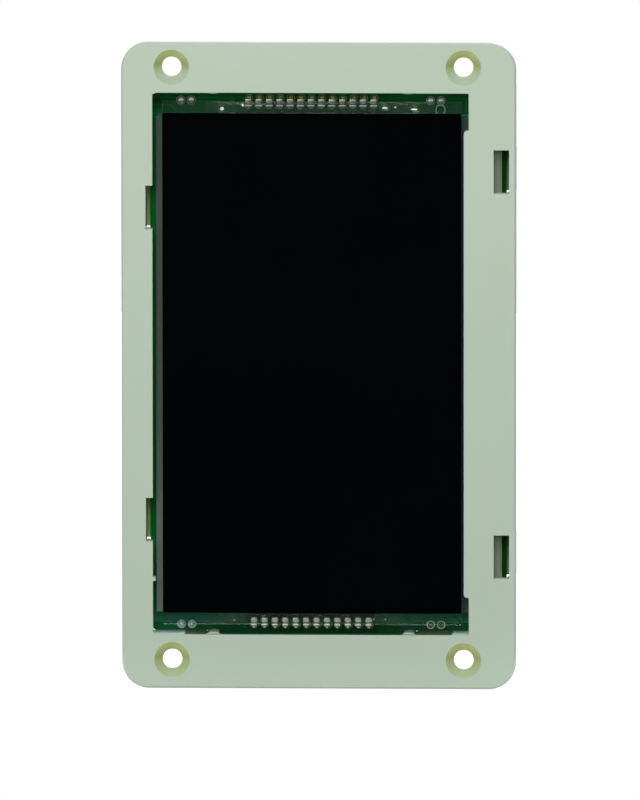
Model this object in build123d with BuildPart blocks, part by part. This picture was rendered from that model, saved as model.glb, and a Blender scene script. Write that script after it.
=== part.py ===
from build123d import *
import os

os.makedirs("parts", exist_ok=True)

# Elevator floor indicator: a moulded frame that carries a glass segment display on its circuit board.
# +X right, +Z up, the display faces -Y. Origin: centre of the four fixing holes, on the front face.
# Lengths are in millimetres, and depths are counted back from the front face, along +Y.

# Glass segment display
display_width = 72.7
display_centre_x = -1.4
display_recess = 0.4
polarizer_thickness = 0.2
glass_thickness = 1.1
rear_glass_height = 128.1
top_ledge = 2.78
bottom_ledge = 3.02
rear_polarizer_margin = 1.0

# Window of the front frame, with its gaps round the display
window_left_gap = 2.45
window_right_gap = 1.85
window_end_gap = 2.25
window_corner_radius = 0.7
window_lip = 1.2
window_lip_end = 9.2
window_lip_radius = 0.85
window_lip_root_radius = 0.3
nib_height = 0.9
nib_length = 0.65
nib_z = -52.8

# Pocket for the circuit board, with four snap hooks
notch_depth = 1.67
pocket_right_reach = 9.83
wall_thickness = 1.5
wall_past_board = 0.5
relief_side_gap = 12.8
relief_depth = 0.9
notch_height = 10.65
notch_z = 38.2
slot_width = 3.8
slot_z = 47.1
hook_slit = 0.5
guide_rib_height = 1.2
guide_rib_play = 0.15
hook_grip = 0.7
hook_land = 0.7
hook_lead_in = 1.7
hook_play = 0.1
post_radius = 4.5
post_spacing_x = 47.6
post_reach = 0.4
post_front = 1.2
post_bore_radius = 1.25
post_bore_depth = 5.0
ledge_gap = 0.4
ledge_hold = 0.45
ledge_play = 0.25
gusset_thickness = 1.2
gusset_foot = 3.0
gusset_back_off = 1.2
end_gusset_places = (-12.0, 8.6)
side_gusset_places = (-56.0, -18.0, 0.0, 18.0, 56.0)

# Flange with its four countersunk fixing holes
flange_thickness = 3.0
flange_left_rim = 4.35
flange_right_rim = 0.15
flange_top_rim = 6.01
flange_bottom_rim = 6.99
flange_corner_radius = 6.5
flange_edge = 0.4
hole_spacing_x = 71.0
hole_window_gap = 6.2
hole_radius = 2.4
countersink_radius = 4.3
countersink_angle = 90

# Circuit board
board_side_play = 0.85
board_end_play = 0.5
board_drop = 0.35
board_thickness = 1.6
board_corner_radius = 1.7
board_tongue_play = 0.4
pad_hole_radius = 0.45
pad_radius = 1.0
pad_thickness = 0.05
pad_sides = 8
pad_pitch = 2.54
pad_pair_spacing = 60.8
pad_pair_offset = -0.45
pad_top_margin = 1.68
pad_bottom_margin = 1.52
solder_bulge = 0.4
solder_radius = 0.84
solder_draft = 45
solder_count = 6

# Display pins: stamped clips on both glass ledges
pin_pitch = 2.54
pins_top = 13
pins_bottom = 12
pin_offset_x = -0.22
pin_row_top_gap = 0.3
pin_row_bottom_gap = 0.7
pin_thickness = 0.25
clip_width = 1.5
clip_reach = 1.85
clip_wave = 0.17
clip_bends = 5
clip_tip_lift = 0.24
clip_rear_reach = 1.5
clip_play = 0.02
lead_width = 0.5
lead_tail = 1.5
lead_play = 0.05
joint_radius = 0.9
joint_height = 0.8
joint_draft = 33
joint_sides = 6
resin_height = 0.72
resin_left_reach = 26.0
resin_right_reach_top = 30.3
resin_right_reach_bottom = 23.8
resin_end_slope = 0.3

# Backlight
light_guide_thickness = 4.0
light_guide_inset = 0.15
reflector_thickness = 0.2
diffuser_thickness = 0.3
diffuser_left_show = 1.65
backlight_end_gap = 0.45
led_board_thickness = 0.4
led_board_side_gap = 2.28
led_board_end_gap = 2.45
led_board_front_gap = 0.1
led_count = 6
led_end_margin = 1.75
led_length = 3.0
led_width = 1.4
led_thickness = 0.85
led_gap = 0.1
led_pin_spacing = 40.0
led_pin_width = 0.6
led_pin_rise = 2.6
led_pin_tail = 1.2
led_pin_play = 0.1

# Components on the rear of the board, with their places seen from behind as (-x, z)
# A lead is given as its reach, foot length, thickness and width
chip_draft = 6.0
chip_stand = 0.1
chip_mark_depth = 0.06
chip_mark_inset = 3.0
chip_mark_sides = 8
controller_place = (1.6, 12.0)
controller_width = 10.0
controller_height = 1.4
controller_lead_count = 11
controller_pitch = 0.8
controller_lead = (0.45, 0.6, 0.15, 0.37)
controller_mark_radius = 0.8
driver_place = (1.6, 45.0)
driver_length = 15.9
driver_width = 7.5
driver_height = 2.3
driver_lead_count = 24
driver_pitch = 0.635
driver_lead = (0.6, 0.8, 0.18, 0.25)
driver_mark_radius = 0.65
transceiver_place = (17.5, -26.0)
transceiver_length = 4.9
transceiver_width = 3.9
transceiver_height = 1.5
transceiver_lead_count = 4
transceiver_pitch = 1.27
transceiver_lead = (0.4, 0.65, 0.2, 0.42)
transceiver_mark_radius = 0.3
regulator_place = (-13.0, -24.0)
regulator_width = 6.5
regulator_length = 6.1
regulator_height = 2.3
regulator_tab_width = 5.3
regulator_tab_length = 7.6
regulator_tab_thickness = 0.5
regulator_lead_pitch = 4.58
regulator_lead_rise = 1.05
regulator_lead = (1.6, 1.3, 0.5, 0.8)
inductor_place = (-27.5, -24.0)
inductor_width = 7.3
inductor_height = 4.0
inductor_bore_radius = 3.1
inductor_core_radius = 2.9
inductor_base = 0.8
inductor_corner = 1.0
diode_places = [(-20.5, -14.0), (-30.0, -14.0)]
diode_length = 4.3
diode_width = 2.6
diode_height = 2.1
diode_tab = (0.45, 0.6, 0.2, 1.4)
can_places = [(-30.5, -38.5), (-19.0, -38.5)]
can_radius = 3.15
can_height = 5.8
can_base_width = 6.6
can_base_height = 1.1
can_base_cut = 1.1
can_neck_height = 0.6
can_neck_depth = 0.35
can_tab_width = 0.9
can_tab_reach = 0.6
can_tab_gap = 1.8
can_tab_thickness = 0.15
crystal_place = (14.0, 12.0)
crystal_length = 11.4
crystal_width = 4.7
crystal_height = 3.6
crystal_base_height = 0.5
crystal_rim = 0.4
capacitor_places = [
    (-7.5, 4.5, 90), (-7.5, 19.5, 90), (10.0, 4.0, 0), (20.5, 9.0, 0),
    (20.5, 15.0, 0), (-12.5, 45.0, 90), (15.0, 45.0, 90), (1.6, 54.0, 0),
    (11.0, -26.0, 90), (-4.0, -20.0, 90), (-4.0, -28.0, 90), (8.0, -38.0, 0),
]
resistor_places = [
    (-7.0, 33.5, 90), (-3.5, 33.5, 90), (0.0, 33.5, 90), (3.5, 33.5, 90),
    (7.0, 33.5, 90), (10.5, 33.5, 90), (24.5, -24.0, 90), (24.5, -28.5, 90),
    (4.0, -4.0, 0), (4.0, -7.0, 0), (14.0, -38.0, 0), (-33.0, 2.0, 90),
]
chip_part_length = 2.0
chip_part_width = 1.25
chip_end_length = 0.4
chip_end_extra = 0.03
capacitor_part_height = 0.95
resistor_part_height = 0.5
connector_places = [(-20.0, -53.0), (19.0, -53.0)]
connector_pins = 4
connector_pitch = 2.5
connector_end_margin = 2.45
connector_width = 5.75
connector_height = 7.0
connector_wall = 0.8
connector_floor = 1.6
connector_lift = 0.6
connector_slot_width = 1.4
connector_slot_spacing = 5.0
connector_pin_width = 0.64
connector_pin_top = 6.2
connector_foot_reach = 3.6
pin_tip_chamfer = 0.13
header_place = (-22.0, 16.0)
header_pins = 5
header_pitch = 2.54
header_base_height = 2.5
header_lift = 0.7
header_pin_width = 0.64
header_pin_top = 9.0
header_foot_reach = 2.6

# Places of the edges, worked out from the display outwards
display_left_x = display_centre_x - display_width / 2
display_right_x = display_centre_x + display_width / 2
window_left_x = display_left_x - window_left_gap
window_right_x = display_right_x + window_right_gap
window_centre_x = (window_left_x + window_right_x) / 2
window_width = window_right_x - window_left_x
window_height = rear_glass_height + 2 * window_end_gap
window_lip_height = window_height - 2 * window_lip_end
pocket_left_x = window_left_x - notch_depth
pocket_right_x = window_right_x + pocket_right_reach
pocket_centre_x = (pocket_left_x + pocket_right_x) / 2
pocket_width = pocket_right_x - pocket_left_x
pocket_height = window_height
flange_left_x = pocket_left_x - wall_thickness - flange_left_rim
flange_right_x = pocket_right_x + wall_thickness + flange_right_rim
hole_spacing_z = window_height + 2 * hole_window_gap
flange_top_z = hole_spacing_z / 2 + flange_top_rim
flange_bottom_z = -hole_spacing_z / 2 - flange_bottom_rim
flange_centre_x = (flange_left_x + flange_right_x) / 2
flange_centre_z = (flange_top_z + flange_bottom_z) / 2
flange_width = flange_right_x - flange_left_x
flange_height = flange_top_z - flange_bottom_z
front_glass_top_z = rear_glass_height / 2 - top_ledge
front_glass_bottom_z = -rear_glass_height / 2 + bottom_ledge
front_glass_height = front_glass_top_z - front_glass_bottom_z
front_glass_centre_z = (front_glass_top_z + front_glass_bottom_z) / 2
glass_edge_z = rear_glass_height / 2
pin_centre_x = display_centre_x + pin_offset_x
pin_row_top_z = glass_edge_z + pin_row_top_gap
pin_row_bottom_z = -glass_edge_z - pin_row_bottom_gap
board_width = pocket_width - 2 * board_side_play
board_height = pocket_height - 2 * board_end_play
board_centre_x = pocket_centre_x
board_centre_z = -board_drop
backlight_height = front_glass_height - 2 * backlight_end_gap
ledge_height = pocket_height / 2 - backlight_height / 2 - board_drop - ledge_play
post_z = window_height / 2 + post_radius - post_reach

# Depths of the faces, worked out from the front
front_glass_front = display_recess + polarizer_thickness
rear_glass_front = front_glass_front + glass_thickness
rear_glass_rear = rear_glass_front + glass_thickness
diffuser_front = rear_glass_rear + polarizer_thickness
light_guide_front = diffuser_front + diffuser_thickness
reflector_front = light_guide_front + light_guide_thickness
board_front = reflector_front + reflector_thickness
board_rear = board_front + board_thickness
wall_rear = board_rear + wall_past_board

# Backlight places
led_board_x = pocket_right_x - led_board_side_gap
led_board_height = backlight_height - 2 * led_board_end_gap
led_pitch = (led_board_height - 2 * led_end_margin - led_length) / (led_count - 1)
led_pin_x = led_board_x + led_board_thickness + pin_thickness / 2
led_middle = (light_guide_front + reflector_front) / 2
light_guide_right_x = led_board_x - led_thickness - led_gap
diffuser_left_x = display_left_x - diffuser_left_show
light_guide_left_x = diffuser_left_x + light_guide_inset


def front_plane(depth):
    """The plane at this depth, seen from the front: its x is +X and its y is +Z."""
    return Plane.XZ.offset(-depth)


def rear_plane(depth):
    """The plane at this depth, seen from behind: its x is -X, its y is +Z and it faces +Y."""
    return Plane(origin=(0, depth, 0), x_dir=(-1, 0, 0), z_dir=(0, 1, 0))


# Front frame: flange, window, pocket wall, hooks, posts and ledges in one moulding
hook_sides = [
    (pocket_left_x, 1, notch_z),
    (pocket_left_x, 1, -notch_z),
    (pocket_right_x, -1, slot_z),
    (pocket_right_x, -1, -slot_z),
]
slot_centre_x = pocket_right_x - slot_width / 2
hook_step = board_side_play + hook_grip
relief_width = window_width - 2 * relief_side_gap

with BuildPart() as front_frame:
    with BuildSketch(front_plane(flange_thickness)):
        with Locations((flange_centre_x, flange_centre_z)):
            RectangleRounded(flange_width, flange_height, flange_corner_radius)
    extrude(amount=flange_thickness)
    chamfer(front_frame.edges().group_by(Axis.Y)[0], length=flange_edge)

    # Wall round the pocket, which steps out along the middle of both short sides, and ribs beside the hooks
    with BuildSketch(front_plane(wall_rear)):
        with Locations((pocket_centre_x, 0)):
            Rectangle(pocket_width + 2 * wall_thickness, pocket_height + 2 * wall_thickness)
        with Locations((window_centre_x, 0)):
            relief_height = pocket_height + 2 * relief_depth
            Rectangle(relief_width + 2 * wall_thickness, relief_height + 2 * wall_thickness)
            Rectangle(relief_width, relief_height, mode=Mode.SUBTRACT)
        with Locations((pocket_centre_x, 0)):
            Rectangle(pocket_width, pocket_height, mode=Mode.SUBTRACT)
        rib_reach = board_side_play - guide_rib_play
        rib_step = (notch_height + guide_rib_height) / 2 + hook_slit
        for wall_x, inward, hook_z in hook_sides:
            with Locations((wall_x + inward * rib_reach / 2, hook_z)):
                with GridLocations(0, 2 * rib_step, 1, 2):
                    Rectangle(rib_reach, guide_rib_height)
        for wall_x, inward, hook_z in hook_sides:
            for end in (-1, 1):
                with Locations((wall_x - inward * wall_thickness / 2,
                                hook_z + end * (notch_height + hook_slit) / 2)):
                    Rectangle(wall_thickness, hook_slit, mode=Mode.SUBTRACT)
    extrude(amount=wall_rear - flange_thickness)

    # Corner ledges that the board's front face rests on
    ledge_right_x = window_right_x + ledge_gap
    ledge_left_width = board_side_play + ledge_hold
    with BuildSketch(front_plane(board_front)):
        for end in (-1, 1):
            ledge_z = end * (pocket_height - ledge_height) / 2
            with Locations(((ledge_right_x + pocket_right_x) / 2, ledge_z)):
                Rectangle(pocket_right_x - ledge_right_x, ledge_height)
            with Locations((pocket_left_x + ledge_left_width / 2, ledge_z)):
                Rectangle(ledge_left_width, ledge_height)
    extrude(amount=board_front - flange_thickness)

    # Snap hooks behind the slots and notches
    for wall_x, inward, hook_z in hook_sides:
        catch = board_rear + hook_play
        with BuildSketch(Plane.XY.offset(hook_z - notch_height / 2)):
            with BuildLine():
                Polyline(
                    (wall_x - inward * wall_thickness, flange_thickness),
                    (wall_x, flange_thickness),
                    (wall_x, catch),
                    (wall_x + inward * hook_step, catch),
                    (wall_x + inward * hook_step, catch + hook_land),
                    (wall_x, catch + hook_land + hook_lead_in),
                    (wall_x - inward * wall_thickness, catch + hook_land + hook_lead_in),
                    close=True,
                )
            make_face()
        extrude(amount=notch_height)

    # Gussets between the wall and the flange
    for side in (-1, 1):
        for gusset_x in end_gusset_places:
            with BuildSketch(Plane.YZ.offset(gusset_x - gusset_thickness / 2)):
                with BuildLine():
                    Polyline(
                        (flange_thickness, side * (pocket_height / 2 + wall_thickness)),
                        (flange_thickness, side * (pocket_height / 2 + wall_thickness + gusset_foot)),
                        (wall_rear - gusset_back_off, side * (pocket_height / 2 + wall_thickness)),
                        close=True,
                    )
                make_face()
            extrude(amount=gusset_thickness)
    for gusset_z in side_gusset_places:
        with BuildSketch(Plane.XY.offset(gusset_z - gusset_thickness / 2)):
            with BuildLine():
                Polyline(
                    (pocket_left_x - wall_thickness, flange_thickness),
                    (pocket_left_x - wall_thickness - gusset_foot, flange_thickness),
                    (pocket_left_x - wall_thickness, wall_rear - gusset_back_off),
                    close=True,
                )
            make_face()
        extrude(amount=gusset_thickness)

    # Window with the raised lip on its right and the two notches and the nib on its left
    with BuildSketch(front_plane(flange_thickness)) as window:
        with Locations((window_centre_x, 0)):
            Rectangle(window_width, window_height)
        with Locations((window_right_x - window_lip / 2, 0)):
            Rectangle(window_lip, window_lip_height, mode=Mode.SUBTRACT)
        lip_limit = window_lip_height / 2 + window_lip_radius
        lip_corners = window.vertices().filter_by_position(Axis.Y, -lip_limit, lip_limit)
        fillet(lip_corners.group_by(Axis.X)[0], radius=window_lip_radius)
        lip_roots = window.vertices().filter_by_position(Axis.Y, -lip_limit, lip_limit)
        fillet(lip_roots.group_by(Axis.X)[-1], radius=window_lip_root_radius)
        fillet(window.vertices().group_by(Axis.X)[0], radius=window_corner_radius)
        with Locations((window_left_x, nib_z)):
            Rectangle(2 * nib_length, nib_height, mode=Mode.SUBTRACT)
        with Locations(((pocket_left_x + window_left_x) / 2, 0)):
            with GridLocations(0, 2 * notch_z, 1, 2):
                Rectangle(notch_depth, notch_height)
        with Locations((slot_centre_x, 0)):
            with GridLocations(0, 2 * slot_z, 1, 2):
                Rectangle(slot_width, notch_height)
    extrude(amount=flange_thickness, mode=Mode.SUBTRACT)

    # Posts, which show as shallow arcs at the top and bottom of the window
    with BuildSketch(front_plane(board_front)):
        with Locations((window_centre_x, 0)):
            with GridLocations(post_spacing_x, 2 * post_z, 2, 2):
                Circle(post_radius)
    extrude(amount=board_front - post_front)
    with BuildSketch(front_plane(board_front)):
        with Locations((window_centre_x, 0)):
            with GridLocations(post_spacing_x, 2 * post_z, 2, 2):
                Circle(post_bore_radius)
    extrude(amount=post_bore_depth, mode=Mode.SUBTRACT)

    with Locations(front_plane(0)):
        with GridLocations(hole_spacing_x, hole_spacing_z, 2, 2):
            CounterSinkHole(hole_radius, countersink_radius, flange_thickness, countersink_angle)
front_frame.part.label = "front_frame"
export_step(front_frame.part, "parts/front_frame.step")

# Circuit board with its plated holes
pin_x_top = [pin_centre_x + pin_pitch * (i - (pins_top - 1) / 2) for i in range(pins_top)]
pin_x_bottom = [pin_centre_x + pin_pitch * (i - (pins_bottom - 1) / 2) for i in range(pins_bottom)]
lead_places = [(x, pin_row_top_z) for x in pin_x_top] + [(x, pin_row_bottom_z) for x in pin_x_bottom]
pad_rows = [
    board_centre_z + board_height / 2 - pad_top_margin,
    board_centre_z - board_height / 2 + pad_bottom_margin,
]
pad_pairs = [display_centre_x + pad_pair_offset + side * pad_pair_spacing / 2 for side in (-1, 1)]
pad_places = [
    (pair_x + offset, row_z)
    for row_z in pad_rows
    for pair_x in pad_pairs
    for offset in (-pad_pitch / 2, pad_pitch / 2)
]
led_pin_rows = [board_centre_z + end * led_pin_spacing / 2 for end in (-1, 1)]

with BuildPart() as circuit_board:
    with BuildSketch(front_plane(board_rear)):
        with Locations((board_centre_x, board_centre_z)):
            RectangleRounded(board_width, board_height, board_corner_radius)
        with Locations((window_centre_x, board_centre_z)):
            Rectangle(relief_width - 2 * board_tongue_play, board_height + 2 * relief_depth)
        with Locations(*lead_places):
            Rectangle(lead_width + 2 * lead_play, pin_thickness + 2 * lead_play, mode=Mode.SUBTRACT)
        with Locations(*pad_places):
            RegularPolygon(pad_hole_radius, pad_sides, mode=Mode.SUBTRACT)
        with Locations(*[(led_pin_x, z) for z in led_pin_rows]):
            led_hole_width = pin_thickness + 2 * led_pin_play
            Rectangle(led_hole_width, led_pin_width + 2 * led_pin_play, mode=Mode.SUBTRACT)
    extrude(amount=board_thickness)
circuit_board.part.label = "circuit_board"
export_step(circuit_board.part, "parts/circuit_board.step")

# Plated rings at the eight corner holes
with BuildPart() as corner_pads:
    with BuildSketch(front_plane(board_front)):
        with Locations(*pad_places):
            RegularPolygon(pad_radius, pad_sides)
            RegularPolygon(pad_hole_radius, pad_sides, mode=Mode.SUBTRACT)
    extrude(amount=pad_thickness)
corner_pads.part.label = "corner_pads"
export_step(corner_pads.part, "parts/corner_pads.step")

# Solder in six of them: a bulge on the ring, and a plug down the hole
with BuildPart() as solder_drop:
    with BuildSketch(Plane.XY.offset(-board_thickness)):
        RegularPolygon(pad_hole_radius, pad_sides)
    extrude(amount=board_thickness + pad_thickness)
    with BuildSketch(Plane.XY.offset(pad_thickness)):
        RegularPolygon(solder_radius, pad_sides)
    extrude(amount=solder_bulge, taper=solder_draft)

with BuildPart(front_plane(board_front)) as corner_solder:
    with Locations(*pad_places[:solder_count]):
        add(solder_drop.part)
corner_solder.part.label = "corner_solder"
export_step(corner_solder.part, "parts/corner_solder.step")

# Segment display: two bonded glass plates, the rear one with a ledge at each end, between polarizers
with BuildPart() as front_polarizer:
    with BuildSketch(front_plane(front_glass_front)):
        with Locations((display_centre_x, front_glass_centre_z)):
            Rectangle(display_width, front_glass_height)
    extrude(amount=polarizer_thickness)
front_polarizer.part.label = "front_polarizer"
export_step(front_polarizer.part, "parts/front_polarizer.step")

with BuildPart() as display_front_glass:
    with BuildSketch(front_plane(rear_glass_front)):
        with Locations((display_centre_x, front_glass_centre_z)):
            Rectangle(display_width, front_glass_height)
    extrude(amount=glass_thickness)
display_front_glass.part.label = "display_front_glass"
export_step(display_front_glass.part, "parts/display_front_glass.step")

with BuildPart() as display_rear_glass:
    with BuildSketch(front_plane(rear_glass_rear)):
        with Locations((display_centre_x, 0)):
            Rectangle(display_width, rear_glass_height)
    extrude(amount=glass_thickness)
display_rear_glass.part.label = "display_rear_glass"
export_step(display_rear_glass.part, "parts/display_rear_glass.step")

with BuildPart() as rear_polarizer:
    rear_film_width = display_width - 2 * rear_polarizer_margin
    rear_film_height = front_glass_height - 2 * rear_polarizer_margin
    with BuildSketch(front_plane(diffuser_front)):
        with Locations((display_centre_x, front_glass_centre_z)):
            Rectangle(rear_film_width, rear_film_height)
    extrude(amount=polarizer_thickness)
rear_polarizer.part.label = "rear_polarizer"
export_step(rear_polarizer.part, "parts/rear_polarizer.step")


def clip_pin(end, row_z):
    """One display pin at x = 0: a waved tongue on the ledge, a bend, a tongue behind and a lead."""
    half = pin_thickness / 2
    tongue_y = rear_glass_front - clip_play - half
    under_y = rear_glass_rear + clip_play + half
    tip_z = end * (glass_edge_z - clip_reach)
    under_z = end * (glass_edge_z - clip_rear_reach)
    step = end * clip_reach / (clip_bends + 1)
    waves = [(tongue_y - clip_wave * (i % 2), tip_z + step * i) for i in range(1, clip_bends + 1)]
    bend = [(tongue_y, row_z), (under_y, row_z), (under_y, under_z)]
    path = [(tongue_y - clip_tip_lift, tip_z), *waves, *bend]
    with BuildPart() as pin:
        with BuildSketch(Plane.YZ.offset(-clip_width / 2)):
            with BuildLine():
                strip = Polyline(*path)
            trace(strip, line_width=pin_thickness)
        extrude(amount=clip_width)
        with BuildSketch(Plane.YZ.offset(-lead_width / 2)):
            with Locations(((under_y + board_rear + lead_tail) / 2, row_z)):
                Rectangle(board_rear + lead_tail - under_y, pin_thickness)
        extrude(amount=lead_width)
    return pin.part


pin_top = clip_pin(1, pin_row_top_z)
pin_bottom = clip_pin(-1, pin_row_bottom_z)

with BuildPart() as display_pins_top:
    with Locations(*[(x, 0, 0) for x in pin_x_top]):
        add(pin_top)
display_pins_top.part.label = "display_pins_top"
export_step(display_pins_top.part, "parts/display_pins_top.step")

with BuildPart() as display_pins_bottom:
    with Locations(*[(x, 0, 0) for x in pin_x_bottom]):
        add(pin_bottom)
display_pins_bottom.part.label = "display_pins_bottom"
export_step(display_pins_bottom.part, "parts/display_pins_bottom.step")


# Clear resin beads over the clips, lying on the glass ledges
resin_runs = [
    ("pin_resin_top", 1, resin_right_reach_top, pin_x_top),
    ("pin_resin_bottom", -1, resin_right_reach_bottom, pin_x_bottom),
]
resin_left_x = display_centre_x - resin_left_reach
channel_height = pin_thickness + clip_tip_lift + 3 * clip_play
for resin_name, end, right_reach, pin_columns in resin_runs:
    inner_z = front_glass_centre_z + end * (front_glass_height / 2 + clip_play)
    outer_z = end * (glass_edge_z - clip_play)
    channel_z = end * (glass_edge_z - clip_reach - pin_thickness / 2)
    with BuildPart() as pin_resin:
        with BuildSketch(Plane.YZ.offset(resin_left_x)):
            with BuildLine():
                ThreePointArc(
                    (rear_glass_front, inner_z),
                    (rear_glass_front - resin_height, (inner_z + outer_z) / 2),
                    (rear_glass_front, outer_z),
                )
                Line((rear_glass_front, outer_z), (rear_glass_front, inner_z))
            make_face()
        extrude(amount=resin_left_reach + right_reach)
        ends = pin_resin.edges().filter_by(GeomType.CIRCLE)
        chamfer(ends, length=resin_end_slope)
        with BuildSketch(front_plane(rear_glass_front)):
            with Locations(*[(x, (channel_z + outer_z) / 2) for x in pin_columns]):
                Rectangle(clip_width, abs(outer_z - channel_z))
        extrude(amount=channel_height, mode=Mode.SUBTRACT)
    pin_resin.part.label = resin_name
    export_step(pin_resin.part, f"parts/{resin_name}.step")

# Solder joints round the display leads, behind the board
with BuildPart() as lead_joint:
    with BuildSketch():
        RegularPolygon(joint_radius, joint_sides)
    extrude(amount=joint_height, taper=joint_draft)
    with BuildSketch():
        Rectangle(lead_width, pin_thickness)
    extrude(amount=joint_height, mode=Mode.SUBTRACT)

with BuildPart(rear_plane(board_rear)) as display_pin_solder:
    with Locations(*[(-x, z) for x, z in lead_places]):
        add(lead_joint.part)
display_pin_solder.part.label = "display_pin_solder"
export_step(display_pin_solder.part, "parts/display_pin_solder.step")

# Backlight: diffuser sheet, light guide and white reflector, lit from the right edge
with BuildPart() as diffuser_sheet:
    with BuildSketch(front_plane(light_guide_front)):
        with Locations(((diffuser_left_x + led_board_x) / 2, board_centre_z)):
            Rectangle(led_board_x - diffuser_left_x, backlight_height)
    extrude(amount=diffuser_thickness)
diffuser_sheet.part.label = "diffuser_sheet"
export_step(diffuser_sheet.part, "parts/diffuser_sheet.step")

with BuildPart() as light_guide:
    with BuildSketch(front_plane(reflector_front)):
        with Locations(((light_guide_left_x + light_guide_right_x) / 2, board_centre_z)):
            Rectangle(light_guide_right_x - light_guide_left_x, backlight_height)
    extrude(amount=light_guide_thickness)
light_guide.part.label = "light_guide"
export_step(light_guide.part, "parts/light_guide.step")

with BuildPart() as reflector_sheet:
    with BuildSketch(front_plane(board_front)):
        with Locations(((light_guide_left_x + light_guide_right_x) / 2, board_centre_z)):
            Rectangle(light_guide_right_x - light_guide_left_x, backlight_height)
    extrude(amount=reflector_thickness)
reflector_sheet.part.label = "reflector_sheet"
export_step(reflector_sheet.part, "parts/reflector_sheet.step")

# Bar board that stands on edge beside the light guide and carries its lamps
led_board_front = diffuser_front + led_board_front_gap
with BuildPart() as led_bar_board:
    with BuildSketch(Plane.YZ.offset(led_board_x)):
        with Locations(((led_board_front + board_front) / 2, board_centre_z)):
            Rectangle(board_front - led_board_front, led_board_height)
    extrude(amount=led_board_thickness)
led_bar_board.part.label = "led_bar_board"
export_step(led_bar_board.part, "parts/led_bar_board.step")

led_rows = [board_centre_z + led_pitch * (i - (led_count - 1) / 2) for i in range(led_count)]
with BuildPart() as backlight_leds:
    with BuildSketch(Plane.YZ.offset(led_board_x)):
        with Locations(*[(led_middle, z) for z in led_rows]):
            Rectangle(led_width, led_length)
    extrude(amount=-led_thickness)
backlight_leds.part.label = "backlight_leds"
export_step(backlight_leds.part, "parts/backlight_leds.step")

led_pin_front = board_front - led_pin_rise
led_pin_rear = board_rear + led_pin_tail
with BuildPart() as led_bar_pins:
    with BuildSketch(Plane.YZ.offset(led_board_x + led_board_thickness)):
        with Locations(*[((led_pin_front + led_pin_rear) / 2, z) for z in led_pin_rows]):
            Rectangle(led_pin_rear - led_pin_front, led_pin_width)
    extrude(amount=pin_thickness)
led_bar_pins.part.label = "led_bar_pins"
export_step(led_bar_pins.part, "parts/led_bar_pins.step")


def bent_lead(rise, reach, foot, thickness, width):
    """A lead that leaves a chip at this height, slants down and ends in a foot. It points along +X."""
    with BuildPart() as lead:
        with BuildSketch(Plane.XZ):
            with BuildLine():
                Polyline(
                    (0, rise + thickness / 2),
                    (reach + thickness / 2, thickness),
                    (reach + foot, thickness),
                    (reach + foot, 0),
                    (reach, 0),
                    (0, rise - thickness / 2),
                    close=True,
                )
            make_face()
        extrude(amount=width / 2, both=True)
    return lead.part


def side_places(place, distance, count, pitch, turns):
    """Where a chip's leads stand: a row of them on each side that the turns name, in degrees."""
    rows = []
    for turn in turns:
        side = Location((place[0], place[1], 0), (0, 0, turn))
        rows += [side * Location((distance, pitch * (i - (count - 1) / 2), 0)) for i in range(count)]
    return rows


# Moulded chips: a drafted body with a round mark at its first lead
chips = [
    ("microcontroller", controller_place, controller_width, controller_width, controller_height,
     controller_mark_radius),
    ("display_driver", driver_place, driver_length, driver_width, driver_height, driver_mark_radius),
    ("bus_transceiver", transceiver_place, transceiver_length, transceiver_width, transceiver_height,
     transceiver_mark_radius),
]
for chip_name, place, length, width, height, mark_radius in chips:
    with BuildPart() as chip_body:
        with BuildSketch(rear_plane(board_rear + chip_stand + height / 2)):
            with Locations(place):
                Rectangle(length, width)
        extrude(amount=height / 2, both=True, taper=chip_draft)
        mark_u = place[0] - length / 2 + chip_mark_inset * mark_radius
        mark_v = place[1] - width / 2 + chip_mark_inset * mark_radius
        with BuildSketch(rear_plane(board_rear + chip_stand + height)):
            with Locations((mark_u, mark_v)):
                RegularPolygon(mark_radius, chip_mark_sides)
        extrude(amount=-chip_mark_depth, mode=Mode.SUBTRACT)
    chip_body.part.label = f"{chip_name}_body"
    export_step(chip_body.part, f"parts/{chip_name}_body.step")

lead_sets = [
    ("microcontroller", controller_place, controller_width, controller_height, controller_lead,
     controller_lead_count, controller_pitch, (0, 90, 180, 270)),
    ("display_driver", driver_place, driver_width, driver_height, driver_lead,
     driver_lead_count, driver_pitch, (90, 270)),
    ("bus_transceiver", transceiver_place, transceiver_width, transceiver_height, transceiver_lead,
     transceiver_lead_count, transceiver_pitch, (90, 270)),
]
for chip_name, place, width, height, lead_sizes, count, pitch, turns in lead_sets:
    lead_shape = bent_lead(chip_stand + height / 2, *lead_sizes)
    with BuildPart(rear_plane(board_rear)) as chip_leads:
        with Locations(*side_places(place, width / 2, count, pitch, turns)):
            add(lead_shape)
    chip_leads.part.label = f"{chip_name}_leads"
    export_step(chip_leads.part, f"parts/{chip_name}_leads.step")

# Voltage regulator: body on a flat metal tab, with two leads
regulator_u, regulator_v = regulator_place
with BuildPart() as regulator_body:
    with BuildSketch(rear_plane(board_rear + regulator_tab_thickness)):
        with Locations(regulator_place):
            Rectangle(regulator_width, regulator_length)
    extrude(amount=regulator_height - regulator_tab_thickness, taper=chip_draft)
regulator_body.part.label = "regulator_body"
export_step(regulator_body.part, "parts/regulator_body.step")

regulator_lead_shape = bent_lead(regulator_lead_rise, *regulator_lead)
with BuildPart(rear_plane(board_rear)) as regulator_tab:
    with BuildSketch(rear_plane(board_rear)):
        with Locations((regulator_u, regulator_v + (regulator_tab_length - regulator_length) / 2)):
            Rectangle(regulator_tab_width, regulator_tab_length)
    extrude(amount=regulator_tab_thickness)
    with Locations(*side_places(regulator_place, regulator_length / 2, 2, regulator_lead_pitch, (270,))):
        add(regulator_lead_shape)
regulator_tab.part.label = "regulator_tab"
export_step(regulator_tab.part, "parts/regulator_tab.step")

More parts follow.
